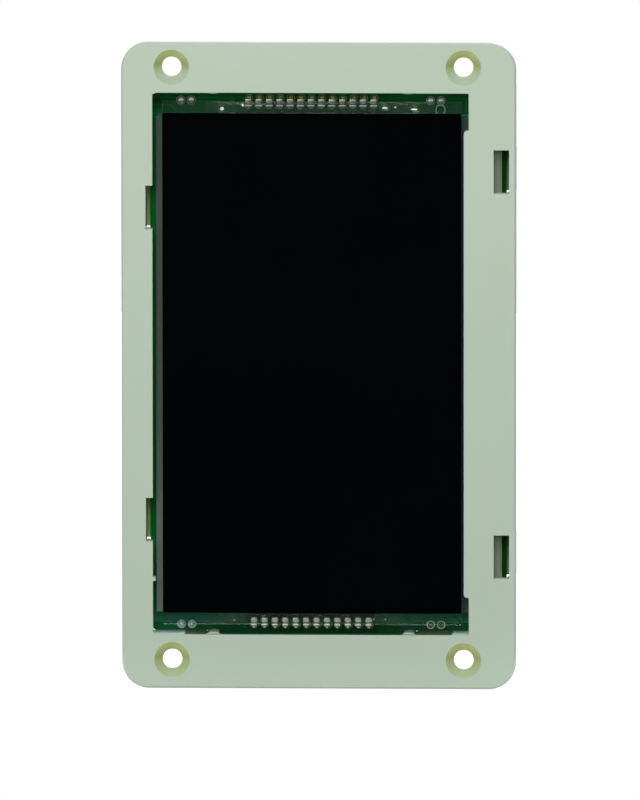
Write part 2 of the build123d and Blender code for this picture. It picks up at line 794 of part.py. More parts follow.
# Power inductor: ferrite core in a square shield
with BuildSketch() as inductor_outline:
    Rectangle(inductor_width, inductor_width)
    chamfer(inductor_outline.vertices(), length=inductor_corner)
with BuildPart() as inductor_shield:
    with BuildSketch(rear_plane(board_rear + inductor_base)):
        with Locations(inductor_place):
            add(inductor_outline.sketch)
            Circle(inductor_bore_radius, mode=Mode.SUBTRACT)
    extrude(amount=inductor_height - inductor_base)
inductor_shield.part.label = "inductor_shield"
export_step(inductor_shield.part, "parts/inductor_shield.step")

with BuildPart() as inductor_core:
    with BuildSketch(rear_plane(board_rear)):
        with Locations(inductor_place):
            add(inductor_outline.sketch)
    extrude(amount=inductor_base)
    with BuildSketch(rear_plane(board_rear + inductor_base)):
        with Locations(inductor_place):
            Circle(inductor_core_radius)
    extrude(amount=inductor_height - inductor_base)
inductor_core.part.label = "inductor_core"
export_step(inductor_core.part, "parts/inductor_core.step")

# Rectifier diodes: moulded blocks with a folded tab at each end
with BuildPart() as diode_bodies:
    with BuildSketch(rear_plane(board_rear + chip_stand + diode_height / 2)):
        with Locations(*diode_places):
            Rectangle(diode_length, diode_width)
    extrude(amount=diode_height / 2, both=True, taper=chip_draft)
diode_bodies.part.label = "diode_bodies"
export_step(diode_bodies.part, "parts/diode_bodies.step")

diode_tab_shape = bent_lead(chip_stand + diode_height / 2, *diode_tab)
diode_tab_places = [
    spot for place in diode_places for spot in side_places(place, diode_length / 2, 1, 0, (0, 180))
]
with BuildPart(rear_plane(board_rear)) as diode_tabs:
    with Locations(*diode_tab_places):
        add(diode_tab_shape)
diode_tabs.part.label = "diode_tabs"
export_step(diode_tabs.part, "parts/diode_tabs.step")

# Electrolytic capacitors: a rolled aluminium can on a plastic base with two tabs
with BuildSketch() as base_outline:
    Rectangle(can_base_width, can_base_width)
    chamfer(base_outline.vertices().group_by(Axis.Y)[-1], length=can_base_cut)
with BuildPart() as capacitor_bases:
    with BuildSketch(rear_plane(board_rear + can_tab_thickness)):
        with Locations(*can_places):
            add(base_outline.sketch)
    extrude(amount=can_base_height - can_tab_thickness)
capacitor_bases.part.label = "capacitor_bases"
export_step(capacitor_bases.part, "parts/capacitor_bases.step")

with BuildPart() as capacitor_cans:
    with BuildSketch(rear_plane(board_rear + can_base_height)):
        with Locations(*can_places):
            Circle(can_radius - can_neck_depth)
    extrude(amount=can_neck_height)
    with BuildSketch(rear_plane(board_rear + can_base_height + can_neck_height)):
        with Locations(*can_places):
            Circle(can_radius)
    extrude(amount=can_height - can_base_height - can_neck_height)
capacitor_cans.part.label = "capacitor_cans"
export_step(capacitor_cans.part, "parts/capacitor_cans.step")

with BuildPart() as capacitor_tabs:
    tab_length = can_base_width / 2 + can_tab_reach - can_tab_gap / 2
    with BuildSketch(rear_plane(board_rear)):
        with Locations(*can_places):
            with GridLocations(0, tab_length + can_tab_gap, 1, 2):
                Rectangle(can_tab_width, tab_length)
    extrude(amount=can_tab_thickness)
capacitor_tabs.part.label = "capacitor_tabs"
export_step(capacitor_tabs.part, "parts/capacitor_tabs.step")

# Crystal in its drawn steel can
with BuildPart() as crystal_can:
    with BuildSketch(rear_plane(board_rear)):
        with Locations(crystal_place):
            SlotOverall(crystal_length, crystal_width, rotation=90)
    extrude(amount=crystal_base_height)
    with BuildSketch(rear_plane(board_rear + crystal_base_height)):
        with Locations(crystal_place):
            SlotOverall(crystal_length - 2 * crystal_rim, crystal_width - 2 * crystal_rim, rotation=90)
    extrude(amount=crystal_height - crystal_base_height)
crystal_can.part.label = "crystal_can"
export_step(crystal_can.part, "parts/crystal_can.step")

# Chip capacitors and resistors: ceramic blocks between plated ends
chip_sets = [
    ("ceramic_capacitors", capacitor_places, capacitor_part_height),
    ("chip_resistors", resistor_places, resistor_part_height),
]
middle_length = chip_part_length - 2 * chip_end_length
for set_name, places, height in chip_sets:
    with BuildPart() as chip_blocks:
        with BuildSketch(rear_plane(board_rear)):
            for place_u, place_v, turn in places:
                with Locations(Location((place_u, place_v), turn)):
                    Rectangle(middle_length, chip_part_width)
        extrude(amount=height)
    chip_blocks.part.label = set_name
    export_step(chip_blocks.part, f"parts/{set_name}.step")

with BuildPart() as chip_ends:
    for set_name, places, height in chip_sets:
        with BuildSketch(rear_plane(board_rear)):
            for place_u, place_v, turn in places:
                with Locations(Location((place_u, place_v), turn)):
                    with GridLocations(middle_length + chip_end_length, 0, 2, 1):
                        Rectangle(chip_end_length, chip_part_width + 2 * chip_end_extra)
        extrude(amount=height + chip_end_extra)
chip_ends.part.label = "chip_ends"
export_step(chip_ends.part, "parts/chip_ends.step")

# Wire connectors: open-topped housings with square pins that end in feet on the board
connector_length = (connector_pins - 1) * connector_pitch + 2 * connector_end_margin
connector_names = ["power_connector", "bus_connector"]
for connector_name, (place_u, place_v) in zip(connector_names, connector_places):
    first_u = place_u - connector_pitch * (connector_pins - 1) / 2
    pin_columns = [first_u + connector_pitch * i for i in range(connector_pins)]
    pin_places = [(u, place_v) for u in pin_columns]
    foot_v = place_v - (connector_foot_reach - connector_pin_width) / 2
    with BuildPart() as housing:
        with BuildSketch(rear_plane(board_rear + connector_lift)):
            with Locations((place_u, place_v)):
                Rectangle(connector_length, connector_width)
        extrude(amount=connector_height - connector_lift)
        with BuildSketch(rear_plane(board_rear + connector_floor + connector_lift)):
            with Locations((place_u, place_v)):
                Rectangle(connector_length - 2 * connector_wall, connector_width - 2 * connector_wall)
            with Locations((place_u, place_v + (connector_width - connector_wall) / 2)):
                with GridLocations(connector_slot_spacing, 0, 2, 1):
                    Rectangle(connector_slot_width, connector_wall)
        extrude(amount=connector_height - connector_floor - connector_lift, mode=Mode.SUBTRACT)
        with BuildSketch(rear_plane(board_rear)):
            with Locations((place_u, place_v)):
                with GridLocations(connector_length - connector_wall, 0, 2, 1):
                    Rectangle(connector_wall, connector_width)
        extrude(amount=connector_lift)
        with BuildSketch(rear_plane(board_rear + connector_lift)):
            with Locations(*pin_places):
                Rectangle(connector_pin_width, connector_pin_width)
        extrude(amount=connector_floor, mode=Mode.SUBTRACT)
    housing.part.label = f"{connector_name}_housing"
    export_step(housing.part, f"parts/{connector_name}_housing.step")

    with BuildPart() as pins:
        with BuildSketch(rear_plane(board_rear)):
            with Locations(*[(u, foot_v) for u in pin_columns]):
                Rectangle(connector_pin_width, connector_foot_reach)
        extrude(amount=connector_lift)
        with BuildSketch(rear_plane(board_rear + connector_lift)):
            with Locations(*pin_places):
                Rectangle(connector_pin_width, connector_pin_width)
        extrude(amount=connector_pin_top - connector_lift)
        chamfer(pins.edges().group_by(Axis.Y)[-1], length=pin_tip_chamfer)
    pins.part.label = f"{connector_name}_pins"
    export_step(pins.part, f"parts/{connector_name}_pins.step")

# Programming header: a row of square pins in a plastic strip, with feet to both sides in turn
header_u, header_v = header_place
header_rows = [
    (header_u, header_v + header_pitch * (i - (header_pins - 1) / 2)) for i in range(header_pins)
]
with BuildPart() as header_strip:
    with BuildSketch(rear_plane(board_rear + header_lift)):
        with Locations(*header_rows):
            Rectangle(header_pitch, header_pitch)
        with Locations(*header_rows):
            Rectangle(header_pin_width, header_pin_width, mode=Mode.SUBTRACT)
    extrude(amount=header_base_height)
header_strip.part.label = "header_strip"
export_step(header_strip.part, "parts/header_strip.step")

with BuildPart() as header_pin_row:
    with BuildSketch(rear_plane(board_rear)):
        for i, (u, v) in enumerate(header_rows):
            side = 1 if i % 2 else -1
            with Locations((u + side * (header_foot_reach - header_pin_width) / 2, v)):
                Rectangle(header_foot_reach, header_pin_width)
    extrude(amount=header_lift)
    with BuildSketch(rear_plane(board_rear + header_lift)):
        with Locations(*header_rows):
            Rectangle(header_pin_width, header_pin_width)
    extrude(amount=header_pin_top - header_lift)
    chamfer(header_pin_row.edges().group_by(Axis.Y)[-1], length=pin_tip_chamfer)
header_pin_row.part.label = "header_pins"
export_step(header_pin_row.part, "parts/header_pins.step")
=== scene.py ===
import bmesh
import bpy
import math
from mathutils import Matrix, Vector


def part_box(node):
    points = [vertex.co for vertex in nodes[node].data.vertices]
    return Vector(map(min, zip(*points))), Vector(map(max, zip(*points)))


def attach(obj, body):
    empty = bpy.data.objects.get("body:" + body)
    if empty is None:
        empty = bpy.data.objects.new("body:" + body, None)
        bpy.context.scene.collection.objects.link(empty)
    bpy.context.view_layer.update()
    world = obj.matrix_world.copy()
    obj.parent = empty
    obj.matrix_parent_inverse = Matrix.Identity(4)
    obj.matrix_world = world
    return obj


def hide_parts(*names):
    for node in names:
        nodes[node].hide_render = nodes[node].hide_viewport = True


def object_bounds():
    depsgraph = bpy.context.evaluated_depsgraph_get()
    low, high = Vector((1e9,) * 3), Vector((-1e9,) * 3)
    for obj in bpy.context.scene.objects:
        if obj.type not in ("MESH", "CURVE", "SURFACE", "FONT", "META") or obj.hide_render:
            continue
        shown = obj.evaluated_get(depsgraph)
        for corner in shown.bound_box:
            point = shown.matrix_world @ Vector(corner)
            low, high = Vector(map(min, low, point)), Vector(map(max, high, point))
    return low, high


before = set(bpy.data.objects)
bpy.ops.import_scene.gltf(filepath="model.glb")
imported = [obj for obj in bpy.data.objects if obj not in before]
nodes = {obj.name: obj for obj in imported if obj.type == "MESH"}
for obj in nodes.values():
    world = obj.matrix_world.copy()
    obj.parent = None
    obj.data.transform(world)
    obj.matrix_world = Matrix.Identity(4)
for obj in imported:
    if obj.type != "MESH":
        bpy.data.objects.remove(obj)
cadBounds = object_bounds()
scene = bpy.context.scene
mm = 0.001
print("frame loaded:", len(nodes), "nodes")

# camera, as the photograph was taken: a long lens, a little from the right and above
cameraValues = {
    "azimuth": 2.3,
    "elevation": 6.5,
    "roll": -0.05,
    "distance": 5.5,
    "viewHeight": 0.1946,
    "sensor": 36,  # the long side of the frame
    "clip": (0.1, 20),
    "aim": (0.60 * mm, 0, -8.74 * mm),
}


def makeCamera(values):
    azimuth = math.radians(values["azimuth"])
    elevation = math.radians(values["elevation"])
    level = math.cos(elevation)
    back = Vector((math.sin(azimuth) * level, -math.cos(azimuth) * level, math.sin(elevation)))
    data = bpy.data.cameras.new("photoCamera")
    data.sensor_width = values["sensor"]
    data.lens = values["sensor"] * values["distance"] / values["viewHeight"]
    data.clip_start, data.clip_end = values["clip"]
    camera = bpy.data.objects.new("photoCamera", data)
    scene.collection.objects.link(camera)
    camera.location = Vector(values["aim"]) + back * values["distance"]
    turn = (-back).to_track_quat("-Z", "Y").to_matrix().to_4x4()
    camera.rotation_euler = (turn @ Matrix.Rotation(math.radians(values["roll"]), 4, "Z")).to_euler()
    scene.camera = camera


makeCamera(cameraValues)

# light: soft boxes above, beside and behind
lampValues = [
    {"name": "frontBox", "place": (-0.35, -1.35, 0.60), "size": (1.0, 0.55), "watts": 7.5},
    {"name": "overheadBox", "place": (0.1, -0.75, 1.05), "size": (1.0, 0.5), "watts": 5.0},
    {"name": "leftBox", "place": (-1.25, -0.85, 0.15), "size": (0.5, 0.9), "watts": 3.2},
    {"name": "rightBox", "place": (1.25, -0.85, 0.2), "size": (0.5, 0.9), "watts": 2.2},
    {"name": "rearBox", "place": (0.5, 1.15, 0.8), "size": (0.9, 0.7), "watts": 13.0},
]


def makeLamps(values):
    for lamp in values:
        data = bpy.data.lights.new(lamp["name"], "AREA")
        data.shape = "RECTANGLE"
        data.size, data.size_y = lamp["size"]
        data.energy = lamp["watts"]
        obj = bpy.data.objects.new(lamp["name"], data)
        scene.collection.objects.link(obj)
        obj.location = lamp["place"]
        obj.rotation_euler = (-Vector(lamp["place"])).to_track_quat("-Z", "Y").to_euler()


makeLamps(lampValues)


def newNode(tree, kind, **values):
    node = tree.nodes.new(kind)
    node.location.x = 220 * len(tree.nodes)  # a row, in the order that they are made
    for key, value in values.items():
        setattr(node, key, value)
    return node


def setSockets(node, **values):
    for key, value in values.items():
        node.inputs[key].default_value = value


def feed(tree, socket, value):
    # a socket takes a colour, a number or what another node puts out
    if isinstance(value, tuple):
        socket.default_value = (*value, 1.0)
    elif isinstance(value, (int, float)):
        socket.default_value = value
    else:
        tree.links.new(value, socket)


def feedAll(tree, sockets, values):
    for socket, value in zip(sockets, values):
        feed(tree, socket, value)


def mathNode(tree, operation, *values):
    node = newNode(tree, "ShaderNodeMath", operation=operation)
    feedAll(tree, node.inputs, values)
    return node.outputs[0]


def product(tree, *masks):
    made = masks[0]
    for mask in masks[1:]:
        made = mathNode(tree, "MULTIPLY", made, mask)
    return made


def mixColour(tree, factor, first, second):
    node = newNode(tree, "ShaderNodeMix", data_type="RGBA")
    feedAll(tree, (node.inputs[0], node.inputs[6], node.inputs[7]), (factor, first, second))
    return node.outputs[2]


def mixShaders(tree, factor, first, second, out):
    mix = newNode(tree, "ShaderNodeMixShader")
    feedAll(tree, mix.inputs, (factor, first, second))
    tree.links.new(mix.outputs[0], out.inputs[0])


def ramp(tree, value, low, high, toLow=0.0, toHigh=1.0, kind="SMOOTHSTEP"):
    node = newNode(tree, "ShaderNodeMapRange", interpolation_type=kind)
    sockets = [node.inputs[key] for key in ("Value", "From Min", "From Max", "To Min", "To Max")]
    feedAll(tree, sockets, (value, low, high, toLow, toHigh))
    return node.outputs["Result"]


def splitVector(tree, vector):
    node = newNode(tree, "ShaderNodeSeparateXYZ")
    tree.links.new(vector, node.inputs[0])
    return node.outputs["X"], node.outputs["Y"], node.outputs["Z"]


# room: dark towards the camera, and the camera itself sees white paper
worldValues = {
    "darkWay": (-0.04, -0.993, -0.113),
    "turns": (0.85, 0.97),
    "front": 0.015,
    "heights": (-0.6, 0.8),
    "levels": (0.42, 0.8),
    "colour": (0.97, 1.0, 0.99),
}


def makeWorld(values):
    world = bpy.data.worlds.new("studioRoom")
    scene.world = world
    world.use_nodes = True
    tree = world.node_tree
    tree.nodes.clear()
    out = newNode(tree, "ShaderNodeOutputWorld")
    way = newNode(tree, "ShaderNodeTexCoord").outputs["Generated"]
    along = newNode(tree, "ShaderNodeVectorMath", operation="DOT_PRODUCT")
    tree.links.new(way, along.inputs[0])
    along.inputs[1].default_value = values["darkWay"]
    dark = ramp(tree, along.outputs["Value"], *values["turns"], 1.0, values["front"])
    high = ramp(tree, splitVector(tree, way)[2], *values["heights"], *values["levels"])
    room = newNode(tree, "ShaderNodeBackground")
    feedAll(tree, room.inputs, (values["colour"], product(tree, dark, high)))
    paper = newNode(tree, "ShaderNodeBackground")
    feedAll(tree, paper.inputs, ((1.0, 1.0, 1.0), 1.0))
    rays = newNode(tree, "ShaderNodeLightPath")
    mixShaders(tree, rays.outputs["Is Camera Ray"], room.outputs[0], paper.outputs[0], out)


makeWorld(worldValues)

# floor: pale, ends a little in front of the object
floorValues = {
    "drop": 0.2 * mm,
    "middle": 0.41,
    "size": (1.6, 0.86, 1),
    "grey": (0.45, 0.45, 0.45),
    "glow": 0.8,
}


def makeFloor(values):
    bpy.ops.object.select_all(action="DESELECT")
    place = (0, values["middle"], cadBounds[0].z - values["drop"])
    bpy.ops.mesh.primitive_plane_add(size=1, location=place)
    floor = bpy.context.active_object
    floor.name = "studioFloor"
    bpy.ops.transform.resize(value=values["size"])
    bpy.ops.object.transform_apply(location=True, rotation=True, scale=True)
    material = bpy.data.materials.new("paleFloor")
    material.use_nodes = True
    tree = material.node_tree
    tree.nodes.clear()
    out = newNode(tree, "ShaderNodeOutputMaterial")
    paper = newNode(tree, "ShaderNodeBsdfDiffuse")
    feed(tree, paper.inputs["Color"], values["grey"])
    shine = newNode(tree, "ShaderNodeEmission")
    rays = newNode(tree, "ShaderNodeLightPath").outputs
    seen = mathNode(tree, "MAXIMUM", rays["Is Camera Ray"], rays["Is Glossy Ray"])
    seen = mathNode(tree, "MAXIMUM", seen, rays["Is Transmission Ray"])
    tree.links.new(product(tree, seen, values["glow"]), shine.inputs["Strength"])
    add = newNode(tree, "ShaderNodeAddShader")
    feedAll(tree, add.inputs, (paper.outputs[0], shine.outputs[0]))
    tree.links.new(add.outputs[0], out.inputs[0])
    floor.data.materials.append(material)


makeFloor(floorValues)
print("camera, lamps, room and floor made")


def noiseAt(tree, *values):
    node = newNode(tree, "ShaderNodeTexNoise")
    feedAll(tree, [node.inputs[key] for key in ("Vector", "Scale", "Detail", "Roughness")], values)
    return node.outputs["Fac"]


# surface effect that all materials share: two colours that drift into each other, with fine grain on top
toneInputs = [
    ("Tone", "NodeSocketColor", (0.5, 0.5, 0.5, 1)),
    ("Other Tone", "NodeSocketColor", (0.4, 0.4, 0.4, 1)),
    ("Drift Scale", "NodeSocketFloat", 60.0),
    ("Grain Scale", "NodeSocketFloat", 4000.0),
    ("Rough Low", "NodeSocketFloat", 0.4),
    ("Rough High", "NodeSocketFloat", 0.5),
]
toneOutputs = [("Color", "NodeSocketColor"), ("Roughness", "NodeSocketFloat"), ("Height", "NodeSocketFloat")]
noiseSpread = (0.3, 0.7)  # the levels between which the noise mostly lies
driftNoise, grainNoise = (4.0, 0.55), (2.0, 0.6)  # detail and roughness


def makeToneGroup():
    tree = bpy.data.node_groups.new("toneAndGrain", "ShaderNodeTree")
    for label, kind, value in toneInputs:
        tree.interface.new_socket(label, in_out="INPUT", socket_type=kind).default_value = value
    for label, kind in toneOutputs:
        tree.interface.new_socket(label, in_out="OUTPUT", socket_type=kind)
    given = newNode(tree, "NodeGroupInput").outputs
    place = newNode(tree, "ShaderNodeTexCoord").outputs["Object"]
    drift = ramp(tree, noiseAt(tree, place, given["Drift Scale"], *driftNoise), *noiseSpread)
    grain = noiseAt(tree, place, given["Grain Scale"], *grainNoise)
    colour = mixColour(tree, drift, given["Tone"], given["Other Tone"])
    rough = ramp(tree, grain, *noiseSpread, given["Rough Low"], given["Rough High"], "LINEAR")
    made = newNode(tree, "NodeGroupOutput")
    feedAll(tree, made.inputs, (colour, rough, grain))
    return tree


toneGroup = makeToneGroup()
grainStrength = 0.4


def startMaterial(name, values):
    material = bpy.data.materials.new(name)
    material.use_nodes = True
    tree = material.node_tree
    shader = tree.nodes["Principled BSDF"]
    group = newNode(tree, "ShaderNodeGroup", node_tree=toneGroup)
    setSockets(group, **{
        "Tone": (*values["tone"], 1.0),
        "Other Tone": (*values["otherTone"], 1.0),
        "Drift Scale": values["driftScale"],
        "Grain Scale": values.get("grainScale", 3000.0),
        "Rough Low": values["rough"][0],
        "Rough High": values["rough"][1],
    })
    tree.links.new(group.outputs["Color"], shader.inputs["Base Color"])
    tree.links.new(group.outputs["Roughness"], shader.inputs["Roughness"])
    if values.get("grainDepth"):
        bump = newNode(tree, "ShaderNodeBump")
        setSockets(bump, Strength=grainStrength, Distance=values["grainDepth"] * mm)
        tree.links.new(group.outputs["Height"], bump.inputs["Height"])
        tree.links.new(bump.outputs[0], shader.inputs["Normal"])
    setSockets(shader, **values.get("sockets", {}))
    return material


def dress(names, material):
    for name in names:
        nodes[name].material_slots[0].material = material


def awayFrom(tree, value, middle):
    return mathNode(tree, "ABSOLUTE", mathNode(tree, "SUBTRACT", value, middle))


def maskOf(tree, axes, steps):
    # a step is an axis with where it starts and where it is full, a ready mask's name, or a plain factor
    masks = []
    for step in steps:
        ready = not isinstance(step, tuple)
        masks.append(axes.get(step, step) if ready else ramp(tree, axes[step[0]], *step[1:]))
    return product(tree, *masks)


def paintLayers(material, values, moreAxes=None):
    # lays tones over a material's colour
    # a layer is its steps and its tone, or its steps, two tones and the step between them
    tree = material.node_tree
    shader = tree.nodes["Principled BSDF"]
    place = newNode(tree, "ShaderNodeVectorMath", operation="SCALE")
    tree.links.new(newNode(tree, "ShaderNodeTexCoord").outputs["Object"], place.inputs[0])
    place.inputs["Scale"].default_value = 1 / mm
    axes = dict(zip("xyz", splitVector(tree, place.outputs[0])))
    if moreAxes:
        moreAxes(tree, axes, values)
    for name, (axis, middle) in values.get("away", {}).items():
        axes[name] = awayFrom(tree, axes[axis], middle)
    for name, steps in values.get("masks", {}).items():
        axes[name] = maskOf(tree, axes, steps)
    for name, (first, second) in values.get("either", {}).items():
        axes[name] = mathNode(tree, "MAXIMUM", axes[first], axes[second])
    colour = shader.inputs["Base Color"].links[0].from_socket
    for steps, tone, *turn in values["layers"]:
        if turn:
            tone = mixColour(tree, maskOf(tree, axes, turn[1:]), tone, turn[0])
        colour = mixColour(tree, maskOf(tree, axes, steps), colour, tone)
    tree.links.new(colour, shader.inputs["Base Color"])
    if "covered" in axes:
        tree.links.new(mathNode(tree, "SUBTRACT", 1.0, axes["covered"]), shader.inputs["Metallic"])
    return material


def faceAxes(tree):
    return splitVector(tree, newNode(tree, "ShaderNodeNewGeometry").outputs["Normal"])


# frame: pale grey-green moulding, olive where it is thin round the fixing holes, that olive laid heavier
# where shade falls as painted shade; painted shade and light also on its foot, rims, hooks, sill and lip
# in all painted materials the places are in millimetres
frameValues = {
    "tone": (0.462, 0.548, 0.442),
    "otherTone": (0.445, 0.535, 0.425),
    "driftScale": 35.0,
    "grainScale": 2600.0,
    "rough": (0.42, 0.54),
    "grainDepth": 0.02,
    "sockets": {"Specular IOR Level": 0.4},
    "holes": {"x": 35.5, "z": 72.5},
    "corners": {"x": (0.28, 41.5), "z": (-0.49, 72.5)},  # middle, then how far the rounding's centre is
    "away": {"fromMiddle": ("x", 0.1), "fromPosts": ("x", -1.7), "height": ("z", 0.0)},
    "masks": {
        "nearHole": [("fromHole", 4.5, 4.1), ("y", 2.4, 1.7)],
        "thinShadeAbove": [("rise", -3.0, 0.8), 0.95],
        "thinShadeBelow": [("z", 0.0, -1.0), ("rise", -6.5, 0.6), 0.85],
        "sill": [("faceZ", 0.3, 0.7), ("y", 9.8, 9.4), ("z", -66.0, -66.2), ("z", -68.0, -67.6)],
    },
    "either": {"thin": ("thinShadeAbove", "thinShadeBelow")},
    "layers": [
        ([("z", 70, -76)], (0.415, 0.497, 0.402)),  # painted shade, darker towards the foot
        (  # rim of the rounded corners: painted shade above, painted light below
            [("fromCorner", 6.02, 6.2), ("y", 0.8, 0.4)],
            (0.38, 0.43, 0.39), (0.58, 0.65, 0.58), ("z", -70, -76),
        ),
        (["nearHole", ("rise", 0.5, -3.4), 0.85], (0.31, 0.39, 0.26)),  # painted shade at the foot of each countersink
        (["nearHole", "thin"], (0.31, 0.355, 0.125), (0.56, 0.62, 0.25), ("rise", 0.4, 3.4)),  # painted shade: olive of the thin plastic on the sides and top, where shade falls
        (  # painted light: faces of the hooks, in the notches and in the slots, brightened olive for light that comes through the plastic
            [("y", 8.4, 9.0), ("faceY", -0.4, -0.8)],
            (0.75, 0.92, 0.36), (0.42, 0.66, 0.44), ("x", -10, 10),
        ),
        (["sill", ("y", 0.3, 0.5), ("fromMiddle", 32.3, 33.0)], (0.64, 0.82, 0.77)),  # painted light on the pale ends of the sill
        (["sill", ("fromMiddle", 32.8, 32.3)], (0.085, 0.125, 0.050)),  # painted olive shade beside the posts
        (["sill", ("fromPosts", 25.9, 25.5)], (0.012, 0.050, 0.020)),  # painted shade, dark with the board's green, between the posts
        ([("x", 36.1, 35.7), ("x", 35.0, 35.2), ("height", 57.5, 56.5), 0.55], (0.45, 0.54, 0.57)),  # painted highlight along the lip
    ],
}


def frameAxes(tree, axes, values):
    axes["faceY"], axes["faceZ"] = faceAxes(tree)[1:]
    across, up = [
        mathNode(tree, "SUBTRACT", mathNode(tree, "ABSOLUTE", axes[axis]), hole)
        for axis, hole in values["holes"].items()
    ]
    beyond = [
        mathNode(tree, "MAXIMUM", mathNode(tree, "SUBTRACT", awayFrom(tree, axes[axis], middle), half), 0.0)
        for axis, (middle, half) in values["corners"].items()
    ]
    for name, (first, second) in {"fromHole": (across, up), "fromCorner": beyond}.items():
        square = mathNode(tree, "ADD", product(tree, first, first), product(tree, second, second))
        axes[name] = mathNode(tree, "SQRT", square)
    axes["rise"] = product(tree, up, mathNode(tree, "SIGN", axes["z"]))


frameMoulding = paintLayers(startMaterial("frameMoulding", frameValues), frameValues, frameAxes)
dress(["front_frame"], frameMoulding)

# board laminate with green solder mask, its front painted lighter to make up for its shade in the pocket
boardValues = {
    "tone": (0.0008, 0.140, 0.016),
    "otherTone": (0.0016, 0.165, 0.026),
    "driftScale": 140.0,
    "grainScale": 1700.0,
    "rough": (0.3, 0.42),
    "grainDepth": 0.015,
    "sockets": {"Specular IOR Level": 0.12},
    "weavePitch": 0.9,
    "weaveStrength": 0.12,
    "away": {"fromPins": ("x", -1.6)},
    "layers": [
        (["weave"], (0.01, 0.20, 0.05)),
        ([("z", -56, -62), 0.85], (0.0035, 0.066, 0.020)),  # painted shade low on the board
        ([("z", -61, -62), ("x", -28, -32)], (0.006, 0.125, 0.034)),  # painted light low at the left
        ([("z", 60, 61.2), ("z", 64.3, 63.9)], (0.0006, 0.085, 0.012)),  # painted shade under the glass ledge above
        ([("z", -60, -61), ("z", -64.4, -64.0), ("fromPins", 14, 18)], (0.022, 0.205, 0.095)),  # painted reflection of the glass, lighter and bluer, under the ledge below
        ([("x", -37.6, -38.2), ("z", -63, -60), ("z", 63, 60)], (0.0012, 0.235, 0.032)),  # painted light on the strip at the left
        ([("y", 8.2, 8.9), 0.97], (0.0025, 0.070, 0.018)),  # rear, in the mask's own darker green
        ([("turned", 0.7, 0.3)], (0.30, 0.42, 0.26)),  # bare edge
    ],
}


def boardAxes(tree, axes, values):
    pace = 2 * math.pi / values["weavePitch"]
    rows, columns = [mathNode(tree, "SINE", product(tree, axes[axis], pace)) for axis in "xz"]
    weave = product(tree, rows, columns)
    axes["weave"] = ramp(tree, weave, -1.0, 1.0, 0.0, values["weaveStrength"], "LINEAR")
    axes["turned"] = mathNode(tree, "ABSOLUTE", faceAxes(tree)[1])


dress(["circuit_board"], paintLayers(startMaterial("boardMask", boardValues), boardValues, boardAxes))

# glass, resin and acrylic, which let the lamps through to the board
clearValues = {
    "displayGlass": {
        "tone": (0.78, 0.92, 0.94), "otherTone": (0.74, 0.89, 0.90),
        "driftScale": 30.0, "rough": (0.02, 0.05), "ior": 1.5, "clear": 0.995,
        "throughColour": (0.66, 0.68, 0.78), "nodes": ["display_front_glass", "display_rear_glass"],
    },
    "clearResin": {
        "tone": (0.90, 0.95, 0.90), "otherTone": (0.82, 0.90, 0.80),
        "driftScale": 500.0, "rough": (0.03, 0.09), "ior": 1.12, "clear": 0.998,
        "throughColour": (0.86, 0.88, 0.88), "nodes": ["pin_resin_top", "pin_resin_bottom"],
        "sockets": {"Coat Weight": 0.25, "Coat Roughness": 0.1},
    },
    "clearAcrylic": {
        "tone": (0.80, 0.88, 0.85), "otherTone": (0.74, 0.84, 0.80),
        "driftScale": 40.0, "rough": (0.08, 0.16), "ior": 1.49, "clear": 1.0,
        "throughColour": (0.8, 0.86, 0.83), "nodes": ["light_guide"],
    },
}


def makeClearMaterial(name, values):
    material = startMaterial(name, values)
    tree = material.node_tree
    shader = tree.nodes["Principled BSDF"]
    setSockets(shader, **{"Transmission Weight": values["clear"], "IOR": values["ior"]})
    through = newNode(tree, "ShaderNodeBsdfTransparent")
    feed(tree, through.inputs["Color"], values["throughColour"])
    shadow = newNode(tree, "ShaderNodeLightPath").outputs["Is Shadow Ray"]
    mixShaders(tree, shadow, shader.outputs[0], through.outputs[0], tree.nodes["Material Output"])
    dress(values["nodes"], material)
    return material


finishes = {name: makeClearMaterial(name, values) for name, values in clearValues.items()}

# frosted sheet with painted shade and light: darker at its top and beside the lip, lighter at its foot and in
# the slots
diffuserValues = {
    "tone": (0.062, 0.095, 0.075),
    "otherTone": (0.052, 0.084, 0.066),
    "driftScale": 70.0,
    "grainScale": 3500.0,
    "rough": (0.42, 0.55),
    "grainDepth": 0.01,
    "layers": [
        ([("z", 0.0, -58)], (0.115, 0.165, 0.140)),  # painted light at the foot
        ([("z", 0.0, 58)], (0.045, 0.070, 0.055)),  # painted shade at the top
        ([("x", 33.5, 35.0)], (0.022, 0.050, 0.042)),  # painted shade beside the lip
        ([("x", 40, 42.5)], (0.20, 0.255, 0.225)),  # painted light in the slots
    ],
}
dress(["diffuser_sheet"], paintLayers(startMaterial("frostedSheet", diffuserValues), diffuserValues))

